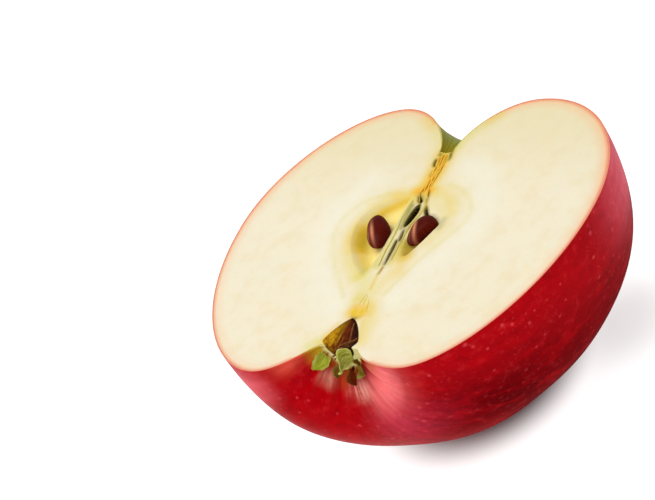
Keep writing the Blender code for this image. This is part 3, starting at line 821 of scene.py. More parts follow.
def core_tints_and_shade(points):
    """Strength of each of the core's tints at each flat point; the dark one is painted shade in the gaps.
    """
    tints = {}
    for name, strokes in CORE_TINTS_AND_SHADE.items():
        tints[name] = np.zeros(len(points))
        for reach, strength, line in strokes:
            stroke = strength * bell(distance_to(points, open_curve(line, STROKE_STEPS)), 0.0, reach)
            tints[name] = np.maximum(tints[name], stroke)
    for _, _, darkness, corners in POCKETS:
        within = depth_within(points, corners)
        for name, (strength, start, reach) in GAP_TINTS_AND_SHADE.items():
            gap = strength * darkness * np.clip((within + start) / reach, 0.0, 1.0)
            tints[name] = np.maximum(tints[name], gap)
    return tints


def lattice(low, high, spacing):
    """Points of a staggered grid over a box."""
    rows = np.arange(low[1], high[1], spacing * math.sqrt(0.75))
    columns = np.arange(low[0], high[0], spacing)
    x, y = np.meshgrid(columns, rows)
    x = x + (np.arange(len(rows)) % 2)[:, None] * spacing / 2.0
    return np.stack((x.ravel(), y.ravel()), axis=1)


def in_core(points):
    """Which flat points lie where the cut face has its points close together."""
    across, height = np.abs(points[:, 0]), points[:, 1]
    half_width = CORE_HALF_WIDTH - CORE_TAPER * np.abs(height - CORE_WIDEST_HEIGHT)
    beside_axis = (across < half_width) | (across < STRAND_HALF_WIDTH)
    return beside_axis & (height >= CORE_LOW[1]) & (height <= CORE_HIGH[1])


def face_points(outline, rim, core_spacing, flesh_spacing):
    """Points inside the cut face: close together in the core and along the rim."""
    closed = closed_line(outline)
    core = lattice(CORE_LOW, CORE_HIGH, core_spacing)
    wide = lattice(FACE_LOW, FACE_HIGH, flesh_spacing)
    wide = wide[~in_core(wide) & (distance_to(wide, rim) > RIM_CLEARANCE)]
    along = np.roll(outline, -1, axis=0) - np.roll(outline, 1, axis=0)
    along /= np.maximum(np.linalg.norm(along, axis=1), 1e-9)[:, None]
    inward = np.stack((-along[:, 1], along[:, 0]), axis=1)
    rings = []
    for offset in RIM_LINES:
        for side in (1.0, -1.0):
            ring = outline + side * offset * inward
            rings.append(ring[distance_to(ring, closed) > RIM_LINE_LEAST_SHARE * offset])
    rings = np.concatenate(rings)
    in_strand = (np.abs(rings[:, 0]) < STRAND_HALF_WIDTH + 0.1) & (
        rings[:, 1] > CORE_LOW[1]) & (rings[:, 1] < CORE_HIGH[1])
    points = np.concatenate((core[in_core(core)], wide, rings[~in_strand]))
    points = points[inside(points, outline)]
    return points[distance_to(points, closed) > BORDER_CLEARANCE]


def sheet_of_points(outline, points):
    """Triangles over a closed outline and the points in it: numbers into both lists, and any new points."""
    corners = [Vector(p) for p in np.concatenate((outline, points))]
    border = list(range(len(outline)))[::-1]
    made, _, faces, sources, _, _ = delaunay_2d_cdt(corners, [], [border], 1, 1e-7, True)
    flat = np.array([(place.x, place.y) for place in made])
    middles = flat[np.array(faces)].mean(axis=1)
    faces = [face for face, kept in zip(faces, inside(middles, outline)) if kept]
    numbers, added = [], []
    for place, source in zip(made, sources):
        if source:
            numbers.append(source[0])
        else:
            numbers.append(len(corners) + len(added))
            added.append((place.x, place.y))
    return [[numbers[corner] for corner in face] for face in faces], np.array(added).reshape(-1, 2)


def settings():
    """The sizes, colours and studio settings of the scene."""
    scene = bpy.context.scene
    return scene.apple_sizes, scene.apple_colours, scene.apple_studio


def skin_depth(thickness):
    """The skin's depth by place, which thins out at the stem pit and at the mouth of the hollow."""
    def depth(places):
        share = np.minimum(places / PIT_THINNING, (MOUTH_PLACE - places) / MOUTH_THINNING)
        return THIN_EDGE + (thickness - THIN_EDGE) * np.clip(share, 0.0, 1.0)
    return depth


def flesh_depth(thickness):
    """How far the flesh lies under the skin's outer face; the hollow behind the calyx has no skin."""
    skin = skin_depth(thickness)

    def depth(places):
        return np.where(places < MOUTH_PLACE, skin(places) + SHELL_GAP, 0.0)
    return depth


def skin_finish(colours, sizes):
    """Waxy red skin with streaks along its meridians, pale dots, and a paler cavity and basin; painted
    shade darkens its lower right, and some of its pink patches are partly painted sheen.
    """
    finish = Finish("apple_skin_waxy")
    turn, place = finish.mesh_value("turn"), finish.mesh_value("place")
    spot = finish.place()
    wide_streaks = finish.streaks(turn * 7.0, place * 1.1, 0.0, 4.0)
    streaks = finish.streaks(turn * 26.0, place * 2.2, 3.0, 5.0, 0.6)
    fine_streaks = finish.streaks(turn * 90.0, place * 5.0, 7.0, 3.0, 0.6)
    bright = finish.streaks(turn * 12.0, place * 5.0, 11.0, 4.0, 0.65).between(0.45, 0.75)
    rays = finish.streaks(turn * 10.0, place * 1.6, 5.0, 2.0)
    patches = finish.noise(spot, 75.0, 3.0)
    mottle = finish.noise(spot, 520.0, 4.0, 0.65)
    wax = finish.noise(spot, 900.0, 2.0)

    # Painted shade: the skin is darkened toward the floor on its lower right, and has fewer dots and less
    # coat gloss there
    painted_underside_shade = turn.between(0.05, 0.60) * (1.0 - turn.between(0.80, 1.60))
    painted_underside_shade = painted_underside_shade * (1.0 - place.between(2.6, 3.1))
    deep = (wide_streaks * 0.3 + streaks * 0.25 + patches * 0.65).between(0.50, 0.90)
    threads = (streaks * 0.4 + fine_streaks * 0.4 + mottle * 0.35).between(0.62, 0.86)
    colour = finish.layers(
        colours.skin_red, (painted_underside_shade * 0.80 + deep * 0.4, colours.skin_deep),
        (bright * 0.4, colours.skin_bright), (mottle.between(0.52, 0.72) * 0.16, "skin_mottle"),
        ((1.0 - mottle.between(0.30, 0.46)) * 0.30, colours.skin_deep), (threads * 0.05, colours.skin_pink))
    breaks = (rays * 0.75 + fine_streaks * 0.1 + mottle * 0.3).between(0.46, 0.70)
    # Patches of the skin's own colour, and pink ones that are partly painted sheen and reflection
    for turn_middle, turn_reach, place_middle, place_reach, broken, strength, screen in SKIN_PATCHES_AND_SHEENS:
        share = turn.near(turn_middle, turn_reach) * place.near(place_middle, place_reach)
        share = share * (1.0 - broken) + share * breaks * broken
        colour = finish.tint(share * strength, colour, display_colour(*screen))

    cavity = (1.0 - place.between(0.30, 0.95)) * 1.5 + streaks * 0.9 - 0.75
    pit = 1.0 - place.between(0.05, 0.42)
    dots = finish.cell_distance(spot, 1.0 / sizes.lenticel_spacing, 0.8)
    dots = (1.0 - dots / (0.14 + patches.between(0.3, 0.7) * 0.16)).limited()
    small_dots = finish.cell_distance(spot, 2.1 / sizes.lenticel_spacing, 1.0)
    small_dots = (1.0 - small_dots / 0.28).limited() * patches.between(0.38, 0.58)
    dotted = (1.0 - painted_underside_shade * 0.8) * place.between(0.8, 1.3) * (1.0 - place.between(3.2, 3.7))
    colour = finish.layers(
        colour, (place.between(3.88, 4.05) * 0.9, "lip_pale"), (cavity.limited(), colours.skin_olive),
        (pit * 0.75, "pit_brown"), ((dots * 0.56 + small_dots * 0.26) * dotted, colours.skin_dot))
    normal = finish.bump(patches, 0.00012, finish.bump(wax + dots * 0.8, 0.000010))
    return finish.surface(
        Base_Color=colour, Roughness=0.34 + wax * 0.10 + dots * 0.12, Normal=normal,
        Specular_IOR_Level=0.0, Coat_Weight=0.21 - painted_underside_shade * 0.17, Coat_Roughness=0.22, Coat_IOR=1.19)


def skin_edge_finish():
    """The cut edge of the skin: salmon, and olive at the stem cavity and at the calyx."""
    finish = Finish("apple_skin_edge")
    place = finish.mesh_value("place")
    mottle = finish.noise(finish.place(), 1500.0, 2.0)
    olive = (1.0 - place.between(0.25, 0.8)) + place.between(3.45, 3.8)
    colour = finish.layers("edge_salmon", (mottle, "edge_peach"), (olive.limited(), "edge_olive"))
    return finish.surface(Base_Color=colour, Roughness=0.45 + mottle * 0.1, Specular_IOR_Level=0.2)


def flesh_finish(colours, sizes):
    """Moist cream flesh with grain, a peach rim, the tints of the core, and painted shade in its gaps."""
    finish = Finish("apple_flesh_cut")
    spot, rim = finish.place(), finish.mesh_value("rim")
    depth, dark = finish.mesh_value("depth"), finish.mesh_value("dark")
    clouds = finish.noise(spot, 60.0, 4.0)
    blotches = finish.noise(spot, 260.0, 3.0, 0.6)
    grain = finish.noise(spot, 1.0 / sizes.grain_size, 3.0, 0.65)
    break_up = 0.80 + finish.noise(spot, 900.0, 4.0, 0.6) * 0.40
    height_up = finish.node("ShaderNodeSeparateXYZ", {}, {"Vector": spot}, "Y")
    upper = height_up.between(-0.020, 0.015)
    peach = (1.0 - rim.between(0.0, 3.0)) * (0.20 + clouds * 0.40) * (0.6 + upper * 0.8)
    blush = (1.0 - rim.between(0.0, 0.8)) * (0.6 + upper * 0.25)
    colour = finish.layers(
        colours.flesh, (clouds.between(0.30, 0.75) * 0.45, "flesh_cloud"),
        (blotches.between(0.42, 0.72) * 0.45, "flesh_blotch"),
        (grain.between(0.45, 0.75) * 0.14, "flesh_grain"),
        (height_up.between(0.002, 0.030) * 0.6, "flesh_upper"), (peach, colours.flesh_rim),
        (blush, "flesh_blush"), (depth.between(0.25, 1.3) * 0.74, "pocket_wall"))
    # The last tint, dark, is painted shade in the gaps, which also lose their coat
    for name in CORE_TINTS_AND_SHADE:
        share = dark if name == "dark" else (finish.mesh_value(name) * break_up).limited()
        colour = finish.tint(share, colour, getattr(colours, "core_" + name))
    return finish.surface(
        Base_Color=colour, Roughness=0.42 + grain * 0.10,
        Normal=finish.bump(clouds, 0.0002, finish.bump(grain, 0.00005)), Subsurface_Weight=0.35,
        Subsurface_Radius=(1.0, 0.62, 0.32), Subsurface_Scale=0.0005, Specular_IOR_Level=0.0,
        Coat_Weight=(1.0 - dark) * 0.8, Coat_Roughness=0.35, Coat_IOR=1.25)


def hollow_finish():
    """The wall of the hollow behind the calyx, golden on one side and dark brown on the other, with painted
    shade that turns its far right near black.
    """
    finish = Finish("apple_calyx_hollow")
    turn, place = finish.mesh_value("turn"), finish.mesh_value("place")
    fibres = finish.streaks(turn * 9.0, place * 3.0, 0.0, 4.0, 0.65)
    blots = finish.noise(finish.place(), 900.0, 3.0, 0.6)
    golden = (turn + fibres * 1.4 - 0.7).between(2.25, 3.05) * (1.0 - place.between(6.3, 6.9) * 0.75)
    lip = (1.0 - place.between(5.0, 5.35)) * turn.between(2.2, 2.8)
    # Painted shade: the wall's right side, deep in the hollow, is darkened near black
    colour = finish.layers(
        "hollow_brown", (golden, "hollow_gold"), (blots.between(0.45, 0.68) * 0.75, "hollow_blot"),
        ((1.0 - turn.between(1.4, 2.3)) * 0.85, "hollow_dark"), (lip * 0.85, "hollow_lip"))
    return finish.surface(
        Base_Color=colour, Roughness=0.6 + blots * 0.2, Normal=finish.bump(fibres * 0.6 + blots, 0.0005),
        Specular_IOR_Level=0.1)


class APPLE_OT_skin(bpy.types.Operator):
    """Build the skin as a thin shell with its stem cavity, calyx basin and cut edge"""

    bl_idname = "apple.build_skin"
    bl_label = "Build skin"

    def execute(self, context):
        sizes, colours, _ = settings()
        turns = np.linspace(0.0, math.pi, sizes.turn_steps + 1)
        depth = skin_depth(sizes.skin_thickness / MM)
        rows = sum(SKIN_ARC_STEPS[:MOUTH_PLACE]) + 1
        outer, places = turned_grid(turns, SKIN_ARC_STEPS)
        inner, _ = turned_grid(turns, SKIN_ARC_STEPS, depth)
        outer, inner, places = outer[:, :rows], inner[:, :rows], places[:rows]
        count = len(turns) * rows
        index = np.arange(count).reshape(len(turns), rows)
        faces = grid_faces(len(turns), rows) + grid_faces(len(turns), rows, count, flip=True)
        kinds = [0] * len(faces)
        for kind, line in ((1, index[0]), (1, index[-1]), (0, index[:, 0]), (0, index[:, -1])):
            edge = strip_faces(line.tolist(), (line + count).tolist())
            faces += edge
            kinds += [kind] * len(edge)
        points = np.concatenate((outer.reshape(-1, 3), inner.reshape(-1, 3)))
        values = {"turn": np.tile(np.repeat(turns, rows), 2), "place": np.tile(places, 2 * len(turns))}
        finishes = [skin_finish(colours, sizes), skin_edge_finish()]
        piece = build_piece("skin", points, faces, finishes, values, kinds)
        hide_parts("apple_body")
        return {"FINISHED"}


class APPLE_OT_flesh(bpy.types.Operator):
    """Build the flesh as one closed body with the cut core and the hollow behind the calyx"""

    bl_idname = "apple.build_flesh"
    bl_label = "Build flesh"

    def execute(self, context):
        sizes, colours, _ = settings()
        turns = np.linspace(0.0, math.pi, FLESH_TURN_STEPS + 1)
        wall, places = turned_grid(turns, FLESH_ARC_STEPS, flesh_depth(sizes.skin_thickness / MM))
        wall, places = wall[:, :-1], places[:-1]
        rows = len(places)
        count = wall.shape[0] * rows
        index = np.arange(count).reshape(len(turns), rows)
        pit_floor, tip = count, count + 1
        points = np.concatenate((wall.reshape(-1, 3), ((0.0, PIT_FLOOR, 0.0), (0.0, TUBE_TIP, 0.0))))
        faces = grid_faces(len(turns), rows)
        faces += [[pit_floor, b, a] for a, b in zip(index[:-1, 0], index[1:, 0])]
        faces += [[tip, a, b] for a, b in zip(index[:-1, -1], index[1:, -1])]
        hollow_row = sum(FLESH_ARC_STEPS[:MOUTH_PLACE])
        kinds = np.tile(np.arange(rows - 1) >= hollow_row, len(turns) - 1).astype(int).tolist()
        kinds += [0] * (len(turns) - 1) + [1] * (len(turns) - 1)

        border = [pit_floor, *index[0], tip, *index[-1][::-1]]
        outline = points[border][:, :2]
        lip_row = sum(FLESH_ARC_STEPS[:LIP_PLACE])
        rims = [points[column[:lip_row + 1]][:, :2] for column in (index[0], index[-1])]
        rim = np.concatenate((rims[0][::-1], rims[1]))
        blushed = slice(FLESH_ARC_STEPS[0] // 2, lip_row - FLESH_ARC_STEPS[BASIN_PLACE] // 2)
        filling = face_points(outline, rim, sizes.core_spacing / MM, sizes.flesh_spacing / MM)
        top_faces, added = sheet_of_points(outline, filling)
        filling = np.concatenate((filling, added))
        fade = np.minimum(distance_to(filling, closed_line(outline)) / BORDER_FADE, 1.0)
        height = cut_relief(filling) * fade
        start = len(points)
        points = np.concatenate((points, np.column_stack((filling, height))))
        numbers = np.array(border + list(range(start, start + len(filling))))
        faces += [[int(numbers[corner]) for corner in face] for face in top_faces]
        kinds += [0] * len(top_faces)

        flat = points[:, :2]
        on_top = np.zeros(len(points), bool)
        on_top[numbers] = True
        values = {name: np.where(on_top, tint, 0.0) for name, tint in core_tints_and_shade(flat).items()}
        from_rim = np.minimum(*(distance_to(flat, rim_line[blushed]) for rim_line in rims))
        values["rim"] = np.where(on_top, from_rim, FAR_FROM_RIM)
        values["depth"] = np.where(on_top, -points[:, 2], 0.0)
        values["turn"] = np.concatenate((np.repeat(turns, rows), np.zeros(2 + len(filling))))
        tip_places = (0.0, len(FLESH_ARC_STEPS))
        values["place"] = np.concatenate((np.tile(places, len(turns)), tip_places, np.zeros(len(filling))))
        finishes = [flesh_finish(colours, sizes), hollow_finish()]
        piece = build_piece("flesh", points, faces, finishes, values, kinds, FLESH_SMOOTH_ANGLE)
        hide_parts("apple_body")
        return {"FINISHED"}


def seed_finish(colours):
    """Glossy dark brown seed coat with fine lengthwise streaks and painted highlight stripes on one side.
    """
    finish = Finish("seed_coat_glossy")
    around, along = finish.mesh_value("around"), finish.mesh_value("along")
    streaks = finish.streaks(around * 7.0, along * 1.2, 0.0, 4.0, 0.6)
    dents = finish.noise(finish.place(), 1200.0, 2.0)
    # Painted highlight, held by the mesh as light
    light = (finish.mesh_value("light") * (0.45 + streaks)).limited() * 0.85
    colour = finish.layers(
        colours.seed, (streaks.between(0.35, 0.7) * 0.6, "seed_streak"), (light, colours.seed_highlight))
    return finish.surface(
        Base_Color=colour, Roughness=0.4 + streaks * 0.12, Specular_IOR_Level=0.0,
        Normal=finish.bump(streaks * 0.7 + dents * 0.5, 0.00006),
        Coat_Weight=0.25, Coat_Roughness=0.18, Coat_IOR=1.22)


class APPLE_OT_seeds(bpy.types.Operator):
    """Build the two seeds from their outlines, blunt at one end and pointed at the other"""

    bl_idname = "apple.build_seeds"
    bl_label = "Build seeds"

    def execute(self, context):
        _, colours, _ = settings()
        material = seed_finish(colours)
        for name, seed in SEEDS.items():
            corners = np.array(seed["outline"])
            outline = closed_curve(corners, SEED_STEPS // len(corners) + 1)
            middle = outline.mean(axis=0)
            axis = middle - corners[0]
            half_length = np.linalg.norm(axis)
            count = len(outline)
            angles = math.pi * np.arange(1, SEED_RINGS) / SEED_RINGS - math.pi / 2.0
            rings = middle + (outline - middle) * (np.cos(angles) ** SEED_FULLNESS)[:, None, None]
            flat = np.concatenate((rings.reshape(-1, 2), (middle, middle)))
            rise = np.concatenate((np.repeat(np.sin(angles), count), (-1.0, 1.0)))
            points = np.column_stack((flat, seed["height"] + rise * seed["thickness"] / 2.0))
            around = np.concatenate((np.tile(TAU * np.arange(count) / count, SEED_RINGS - 1), (0.0, 0.0)))
            along = (flat - corners[0]) @ axis / half_length
            # Painted highlight stripes on the seed's side toward the light
            side = (flat - middle) @ np.array(seed["highlight_side"]) / SEED_HALF_WIDTH
            light = sum(strength * bell(side, across, reach) for strength, across, reach in SEED_HIGHLIGHT_STRIPES)
            light *= bell(along / half_length, SEED_HIGHLIGHT_MIDDLE, SEED_HIGHLIGHT_REACH)
            light[-2:] = 0.0
            faces = grid_faces(SEED_RINGS - 1, count, closed=True)
            for pole, start in ((len(points) - 2, 0), (len(points) - 1, (SEED_RINGS - 2) * count)):
                faces += [(pole, start + number, start + (number + 1) % count) for number in range(count)]
            values = {"around": around, "along": along, "light": light}
            piece = build_piece(name + "_coat", points, faces, [material], values)
            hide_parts(seed["replaces"])
        return {"FINISHED"}


def tube(line, radii, sides, flatness=1.0):
    """Points and faces of a closed tube along a line, with a radius at each point.

    A flatness below 1 makes an upright strip, thinner across than it is high.
    """
    line = np.array(line, float)
    along = np.gradient(line, axis=0)
    along /= np.linalg.norm(along, axis=1)[:, None]
    side = np.cross(along, (0.0, 0.0, 1.0))
    side /= np.linalg.norm(side, axis=1)[:, None]
    over = np.cross(side, along)
    angles = (TAU * np.arange(sides) / sides)[None, :, None]
    rings = np.cos(angles) * side[:, None] * flatness + np.sin(angles) * over[:, None]
    points = line[:, None] + np.array(radii)[:, None, None] * rings
    faces = grid_faces(len(line), sides, closed=True)
    faces.append(list(range(sides))[::-1])
    faces.append(list(range((len(line) - 1) * sides, len(line) * sides)))
    return points.reshape(-1, 3), faces


def gather(parts):
    """Several (points, faces, value) parts as one set of points, faces and point values."""
    points, faces, values = [], [], []
    for part_points, part_faces, value in parts:
        start = sum(len(p) for p in points)
        points.append(part_points)
        faces += [[corner + start for corner in face] for face in part_faces]
        values.append(np.full(len(part_points), value))
    return np.concatenate(points), faces, np.concatenate(values)


def fibre_finish(colours):
    """Golden to brown plant fibres."""
    finish = Finish("core_fibre")
    mottle = finish.noise(finish.place(), 1100.0, 3.0)
    tone = finish.mesh_value("tone") * 0.8 + (mottle - 0.5) * 0.4
    colour = finish.layers(
        "fibre_gold", (tone, "fibre_brown"), (mottle.between(0.45, 0.65) * 0.4, colours.core_orange))
    return finish.surface(
        Base_Color=colour, Roughness=0.45 + mottle * 0.15, Normal=finish.bump(mottle, 0.00005),
        Subsurface_Weight=0.2, Subsurface_Radius=(1.0, 0.6, 0.2), Subsurface_Scale=0.0005)


def membrane_finish(colours):
    """Thin pale walls between the seed pockets."""
    finish = Finish("core_membrane")
    mottle = finish.noise(finish.place(), 700.0, 3.0)
    colour = finish.tint(mottle * 0.6, colours.core_pale, colours.core_green)
    return finish.surface(
        Base_Color=colour, Roughness=0.34 + mottle * 0.12, Normal=finish.bump(mottle, 0.00006),
        Subsurface_Weight=0.3, Subsurface_Radius=(1.0, 0.8, 0.5), Subsurface_Scale=0.0006)


class APPLE_OT_core(bpy.types.Operator):
    """Build the fibres of the core and the thin walls between the seed pockets"""

    bl_idname = "apple.build_core"
    bl_label = "Build core"

    def execute(self, context):
        _, colours, _ = settings()
        parts = []
        for number, (radius, tone, corners) in enumerate(FIBRES):
            flat = open_curve(corners, FIBRE_STEPS)
            share = np.linspace(0.0, 1.0, len(flat))
            height = FIBRE_HEIGHT + FIBRE_RIPPLE * np.sin(share * 9.0 + number)
            height -= FIBRE_DIP * (2.0 * share - 1.0) ** 8
            radii = radius * (0.35 + 0.65 * np.sin(math.pi * np.clip(share, 0.03, 0.97)) ** 0.5)
            flat[:, 0] += FIBRE_SWAY * np.sin(share * 31.0 + number * 2.0)
            parts.append((*tube(np.column_stack((flat, height)), radii, 8), tone))
        points, faces, tones = gather(parts)
        piece = build_piece("core_fibres", points, faces, [fibre_finish(colours)], {"tone": tones})
        parts = []
        for depth, thickness, top, corners in MEMBRANES:
            flat = open_curve(corners, FIBRE_STEPS)
            share = np.linspace(0.0, 1.0, len(flat))
            radii = depth / 2.0 * (0.4 + 0.6 * np.sin(math.pi * np.clip(share, 0.02, 0.98)) ** 0.4)
            line = np.column_stack((flat, top - radii))
            parts.append((*tube(line, radii, 12, thickness / depth), 0.0))
        points, faces, _ = gather(parts)
        piece = build_piece("core_walls", points, faces, [membrane_finish(colours)])
        return {"FINISHED"}


def filament_finish():
    """Dry grey-brown filaments."""
    finish = Finish("calyx_filament")
    mottle = finish.noise(finish.place(), 1500.0, 2.0)
    colour = finish.layers(
        "filament_dark", (finish.mesh_value("tone"), "filament_light"), (mottle * 0.5, "filament_spot"))
    return finish.surface(
        Base_Color=colour, Roughness=0.6 + mottle * 0.2, Normal=finish.bump(mottle, 0.00005),
        Specular_IOR_Level=0.1)


class APPLE_OT_filaments(bpy.types.Operator):
    """Build the dry filaments and the style in the hollow behind the calyx"""

    bl_idname = "apple.build_filaments"
    bl_label = "Build filaments"

    def execute(self, context):
        random = np.random.default_rng(STAMEN_SEED)
        parts = []
        share = np.array((0.0, 0.35, 0.7, 1.0))
        for number in range(STAMENS):
            turn = math.pi * (STAMEN_TURNS[0] + STAMEN_TURNS[1] * (number + 0.5) / STAMENS)
            length = random.uniform(*STAMEN_LENGTHS)
            foot = random.uniform(*STAMEN_FEET)
            lean = random.uniform(*STAMEN_LEANS)
            radius = blend_values(*STAMEN_PLACES, share) + 0.5 * np.sin(share * 4.0 + number)
            radius = np.maximum(radius, 0.3)
            x = math.cos(turn) * radius + lean * share
            z = np.minimum(-math.sin(turn) * radius, -0.35)
            line = open_curve(np.column_stack((x, foot - length * share, z)), STROKE_STEPS)
            radii = np.linspace(*STAMEN_RADII, len(line))
            radii[-3:] = STAMEN_TIP_RADII
            parts.append((*tube(line, radii, 7), random.uniform(0.0, 1.0)))
        style = open_curve(STYLE_LINE, CURVE_STEPS)
        parts.append((*tube(style, np.linspace(*STYLE_RADII, len(style)), 9), 0.7))
        points, faces, tones = gather(parts)
        piece = build_piece("calyx_filaments", points, faces, [filament_finish()], {"tone": tones})
        return {"FINISHED"}


def basin_height(turn, radius):
    """Height of the calyx basin's skin, or of its lip, at one turn and radius."""
    pairs, places = raised_profile(turn, SKIN_ARC_STEPS)
    basin = pairs[(places >= BASIN_PLACE) & (places <= MOUTH_PLACE)][::-1]
    return float(np.interp(radius, np.maximum.accumulate(basin[:, 0]), basin[:, 1]))


def sepal_finish(colours, name, tone, paleness):
    """A dry sepal with veins, a pale rim and darker stripes; tone 0 is pale green and 1 is brown."""
    finish = Finish(name + "_dry")
    along, across = finish.mesh_value("along"), finish.mesh_value("across")
    mottle = finish.noise(finish.place(), 900.0, 3.0)
    veins = finish.streaks(across * 5.0, along * 1.3, tone * 9.0, 3.0, 0.6)
    folds = (veins * 0.6 + mottle * 0.5).between(0.35, 0.75) * paleness
    browned = (along * 0.4 + mottle - 0.45 + tone * 0.2).limited() * 0.4
    rim = across.between(0.3, 0.9) + abs(across).between(0.8, 1.0) * 0.4
    pale = (rim * 0.7 + veins.between(0.5, 0.7) * 0.6).limited() * paleness
    stripes = (1.0 - veins.between(0.30, 0.46)) * (0.8 - 0.7 * tone)
    colour = finish.layers(
        colours.sepal_green, (folds, colours.sepal_pale), (tone, colours.sepal_brown),
        (browned, colours.sepal_brown), (pale, colours.sepal_pale), (stripes, "sepal_stripe"))
    return finish.surface(
        Base_Color=colour, Roughness=0.55 + mottle * 0.2, Normal=finish.bump(veins + mottle * 0.4, 0.00022),
        Subsurface_Weight=0.15, Subsurface_Radius=(0.8, 1.0, 0.3), Subsurface_Scale=0.0003,
        Specular_IOR_Level=0.0)


class APPLE_OT_sepals(bpy.types.Operator):
    """Build the five dry sepals round the calyx, thin, wavy and curling back"""

    bl_idname = "apple.build_sepals"
    bl_label = "Build sepals"

    def execute(self, context):
        sizes, colours, _ = settings()
        thickness = sizes.sepal_thickness / MM
        rows, width = SEPAL_STEPS + 1, 2 * SEPAL_HALVES + 1
        count = rows * width
        index = np.arange(count).reshape(rows, width)
        share, shift = np.linspace(0.0, 1.0, rows)[:, None], np.linspace(-1.0, 1.0, width)[None]
        for number, (name, row) in enumerate(SEPALS.items()):
            turn_deg, base, lean_deg, curl_deg, length, broad, tone, paleness = row
            turn = math.radians(turn_deg)
            away = (math.cos(turn), 0.0, -math.sin(turn))
            axes = np.array((away, (0.0, 1.0, 0.0), (away[2], 0.0, -away[0])))
            lean = np.radians(lean_deg + curl_deg * share)
            out = np.sin(lean) * length / SEPAL_STEPS
            down = np.cos(lean) * length / SEPAL_STEPS
            outward = base + np.cumsum(out)[:, None] - out
            height = basin_height(turn, base) - SEPAL_BASE_CLEARANCE - np.cumsum(down)[:, None] + down
            fullness = np.sin(math.pi * (SEPAL_BASE_SHARE + (1.0 - SEPAL_BASE_SHARE) * share)) ** 0.8
            half_width = np.maximum(broad / 2.0 * fullness, SEPAL_LEAST_HALF_WIDTH)
            wave = SEPAL_WAVE * shift * np.sin(TAU * share) - SEPAL_CUP * half_width * shift ** 2
            wave += SEPAL_RIPPLE * np.sin(9.0 * share + 5.0 * shift + number) * (0.3 + abs(shift))
            ragged = 1.0 + SEPAL_RAGGEDNESS * np.sin(23.0 * share + 3.0 * number) * abs(shift)
            points = []
            for side in (1.0, -1.0):
                offset = wave + side * thickness / 2.0 * (1.0 - 0.6 * shift ** 2)
                place = (outward + np.cos(lean) * offset, height + np.sin(lean) * offset,
                         shift * half_width * ragged)
                points.append(np.stack(place, axis=-1).reshape(-1, 3) @ axes)
            faces = []
            for quad in grid_faces(rows, width):
                for a, b, c in ((0, 1, 2), (0, 2, 3)):
                    faces.append([quad[a], quad[b], quad[c]])
                    faces.append([quad[c] + count, quad[b] + count, quad[a] + count])
            border = [*index[0], *index[1:, -1], *index[-1, -2::-1], *index[-2:0:-1, 0]]
            border = [int(corner) for corner in border]
            for here, after in zip(border, border[1:] + border[:1]):
                faces.append([here, after, after + count, here + count])
            values = {"along": np.tile(np.repeat(share, width), 2), "across": np.tile(shift[0], 2 * rows)}
            finish = sepal_finish(colours, name, tone, paleness)
            piece = build_piece(
                name + "_dry", np.concatenate(points), faces, [finish], values, sharp=SEPAL_SMOOTH_ANGLE)
            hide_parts(name)
        return {"FINISHED"}


def area_light(name, offset, size, power):
    """A soft square light at an offset from the middle of the half, at which it looks."""
    data = bpy.data.lights.new(name, "AREA")
    data.energy = power
    data.size = size
    light = bpy.data.objects.new(name, data)
    light.location = Vector(MIDDLE) + offset
    light.rotation_euler = (-offset).to_track_quat("-Z", "Y").to_euler()
    bpy.context.scene.collection.objects.link(light)


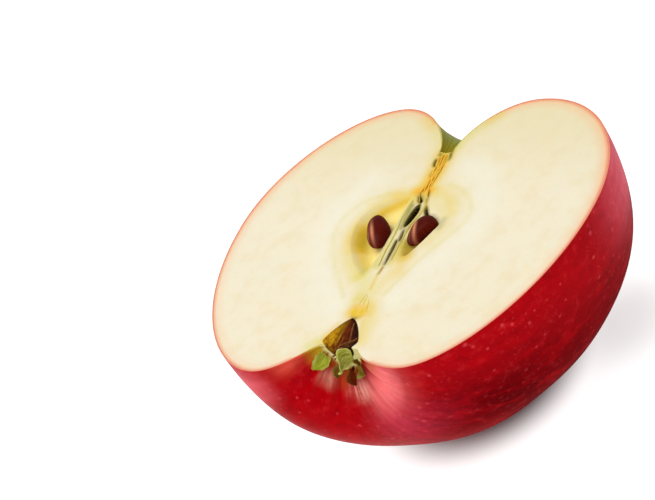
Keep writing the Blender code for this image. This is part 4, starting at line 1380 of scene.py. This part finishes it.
class APPLE_OT_studio(bpy.types.Operator):
    """Build the pale floor, whose glow dies in a painted shadow round the half, the soft lights, the white
    surroundings and the camera
    """

    bl_idname = "apple.build_studio"
    bl_label = "Build studio"

    def execute(self, context):
        _, _, studio = settings()
        scene = context.scene
        bm = bmesh.new()
        bmesh.ops.create_circle(bm, cap_ends=True, segments=FLOOR_CORNERS, radius=studio.floor_radius)
        mesh = bpy.data.meshes.new("floor")
        bm.to_mesh(mesh)
        bm.free()
        floor = bpy.data.objects.new("floor", mesh)
        floor.location = (0.0, 0.0, -FLOOR_DROP)
        scene.collection.objects.link(floor)
        finish = Finish("floor_pale")
        grain = finish.noise(finish.place(), 40.0, 2.0)
        # Painted shadow: the floor's glow dies out round the half and dips in a fainter spot beside it
        away, from_faint_shadow = finish.distance_from(PAINTED_SHADOW_MIDDLE), finish.distance_from(FAINT_SHADOW_MIDDLE)
        glow = away.between(studio.shadow_fade_start, studio.shadow_fade_end)
        glow = glow * (FAINT_SHADOW_GLOW + from_faint_shadow.between(*FAINT_SHADOW_REACH) * (1.0 - FAINT_SHADOW_GLOW))
        mesh.materials.append(finish.surface(
            Base_Color=finish.tint(grain, "floor_dark", "floor_light"), Roughness=0.9,
            Specular_IOR_Level=0.1, Emission_Color=finish.tint(glow, "black", "white"),
            Emission_Strength=studio.glow))

        world = bpy.data.worlds.new("white surroundings")
        world.use_nodes = True
        background = world.node_tree.nodes["Background"]
        background.inputs["Color"].default_value = (1.0, 1.0, 1.0, 1.0)
        background.inputs["Strength"].default_value = studio.sky_level
        scene.world = world
        scene.view_settings.view_transform = "Standard"

        turned = Matrix((CAMERA_RIGHT, CAMERA_UP, CAMERA_BACK)).transposed()
        area_light("key", turned @ Vector(KEY_OFFSET), KEY_SIZE, studio.key_power)
        area_light("top", Vector(TOP_OFFSET), TOP_SIZE, studio.top_power)
        area_light("fill", turned @ Vector(FILL_OFFSET), FILL_SIZE, studio.fill_power)

        camera_data = bpy.data.cameras.new("camera")
        camera_data.lens = studio.lens
        camera_data.sensor_width = SENSOR_WIDTH
        camera_data.clip_start = 0.01
        camera = bpy.data.objects.new("camera", camera_data)
        scene.collection.objects.link(camera)
        camera.matrix_world = Matrix.Translation(CAMERA_PLACE) @ turned.to_4x4()
        scene.camera = camera
        return {"FINISHED"}


class APPLE_PT_panel(bpy.types.Panel):
    """Lists the steps that build the apple half"""

    bl_idname = "APPLE_PT_panel"
    bl_label = "Apple half"
    bl_space_type = "VIEW_3D"
    bl_region_type = "UI"
    bl_category = "Apple half"

    def draw(self, context):
        layout = self.layout
        for operator in OPERATORS:
            layout.operator(operator.bl_idname)
        for group in settings():
            box = layout.box()
            for name in group.__annotations__:
                box.prop(group, name)


OPERATORS = (
    APPLE_OT_skin, APPLE_OT_flesh, APPLE_OT_seeds, APPLE_OT_core, APPLE_OT_filaments, APPLE_OT_sepals,
    APPLE_OT_studio)
CLASSES = (AppleSizes, AppleColours, AppleStudio, *OPERATORS, APPLE_PT_panel)


def register():
    """Register the settings, the operators and the panel."""
    for cls in CLASSES:
        bpy.utils.register_class(cls)
    bpy.types.Scene.apple_sizes = PointerProperty(type=AppleSizes)
    bpy.types.Scene.apple_colours = PointerProperty(type=AppleColours)
    bpy.types.Scene.apple_studio = PointerProperty(type=AppleStudio)


def unregister():
    """Take the settings, the operators and the panel away again."""
    del bpy.types.Scene.apple_studio
    del bpy.types.Scene.apple_colours
    del bpy.types.Scene.apple_sizes
    for cls in reversed(CLASSES):
        bpy.utils.unregister_class(cls)


def main():
    """Register the add-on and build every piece."""
    register()
    bpy.ops.apple.build_skin()
    bpy.ops.apple.build_flesh()
    bpy.ops.apple.build_seeds()
    bpy.ops.apple.build_core()
    bpy.ops.apple.build_filaments()
    bpy.ops.apple.build_sepals()
    bpy.ops.apple.build_studio()


if __name__ == "__main__":
    main()
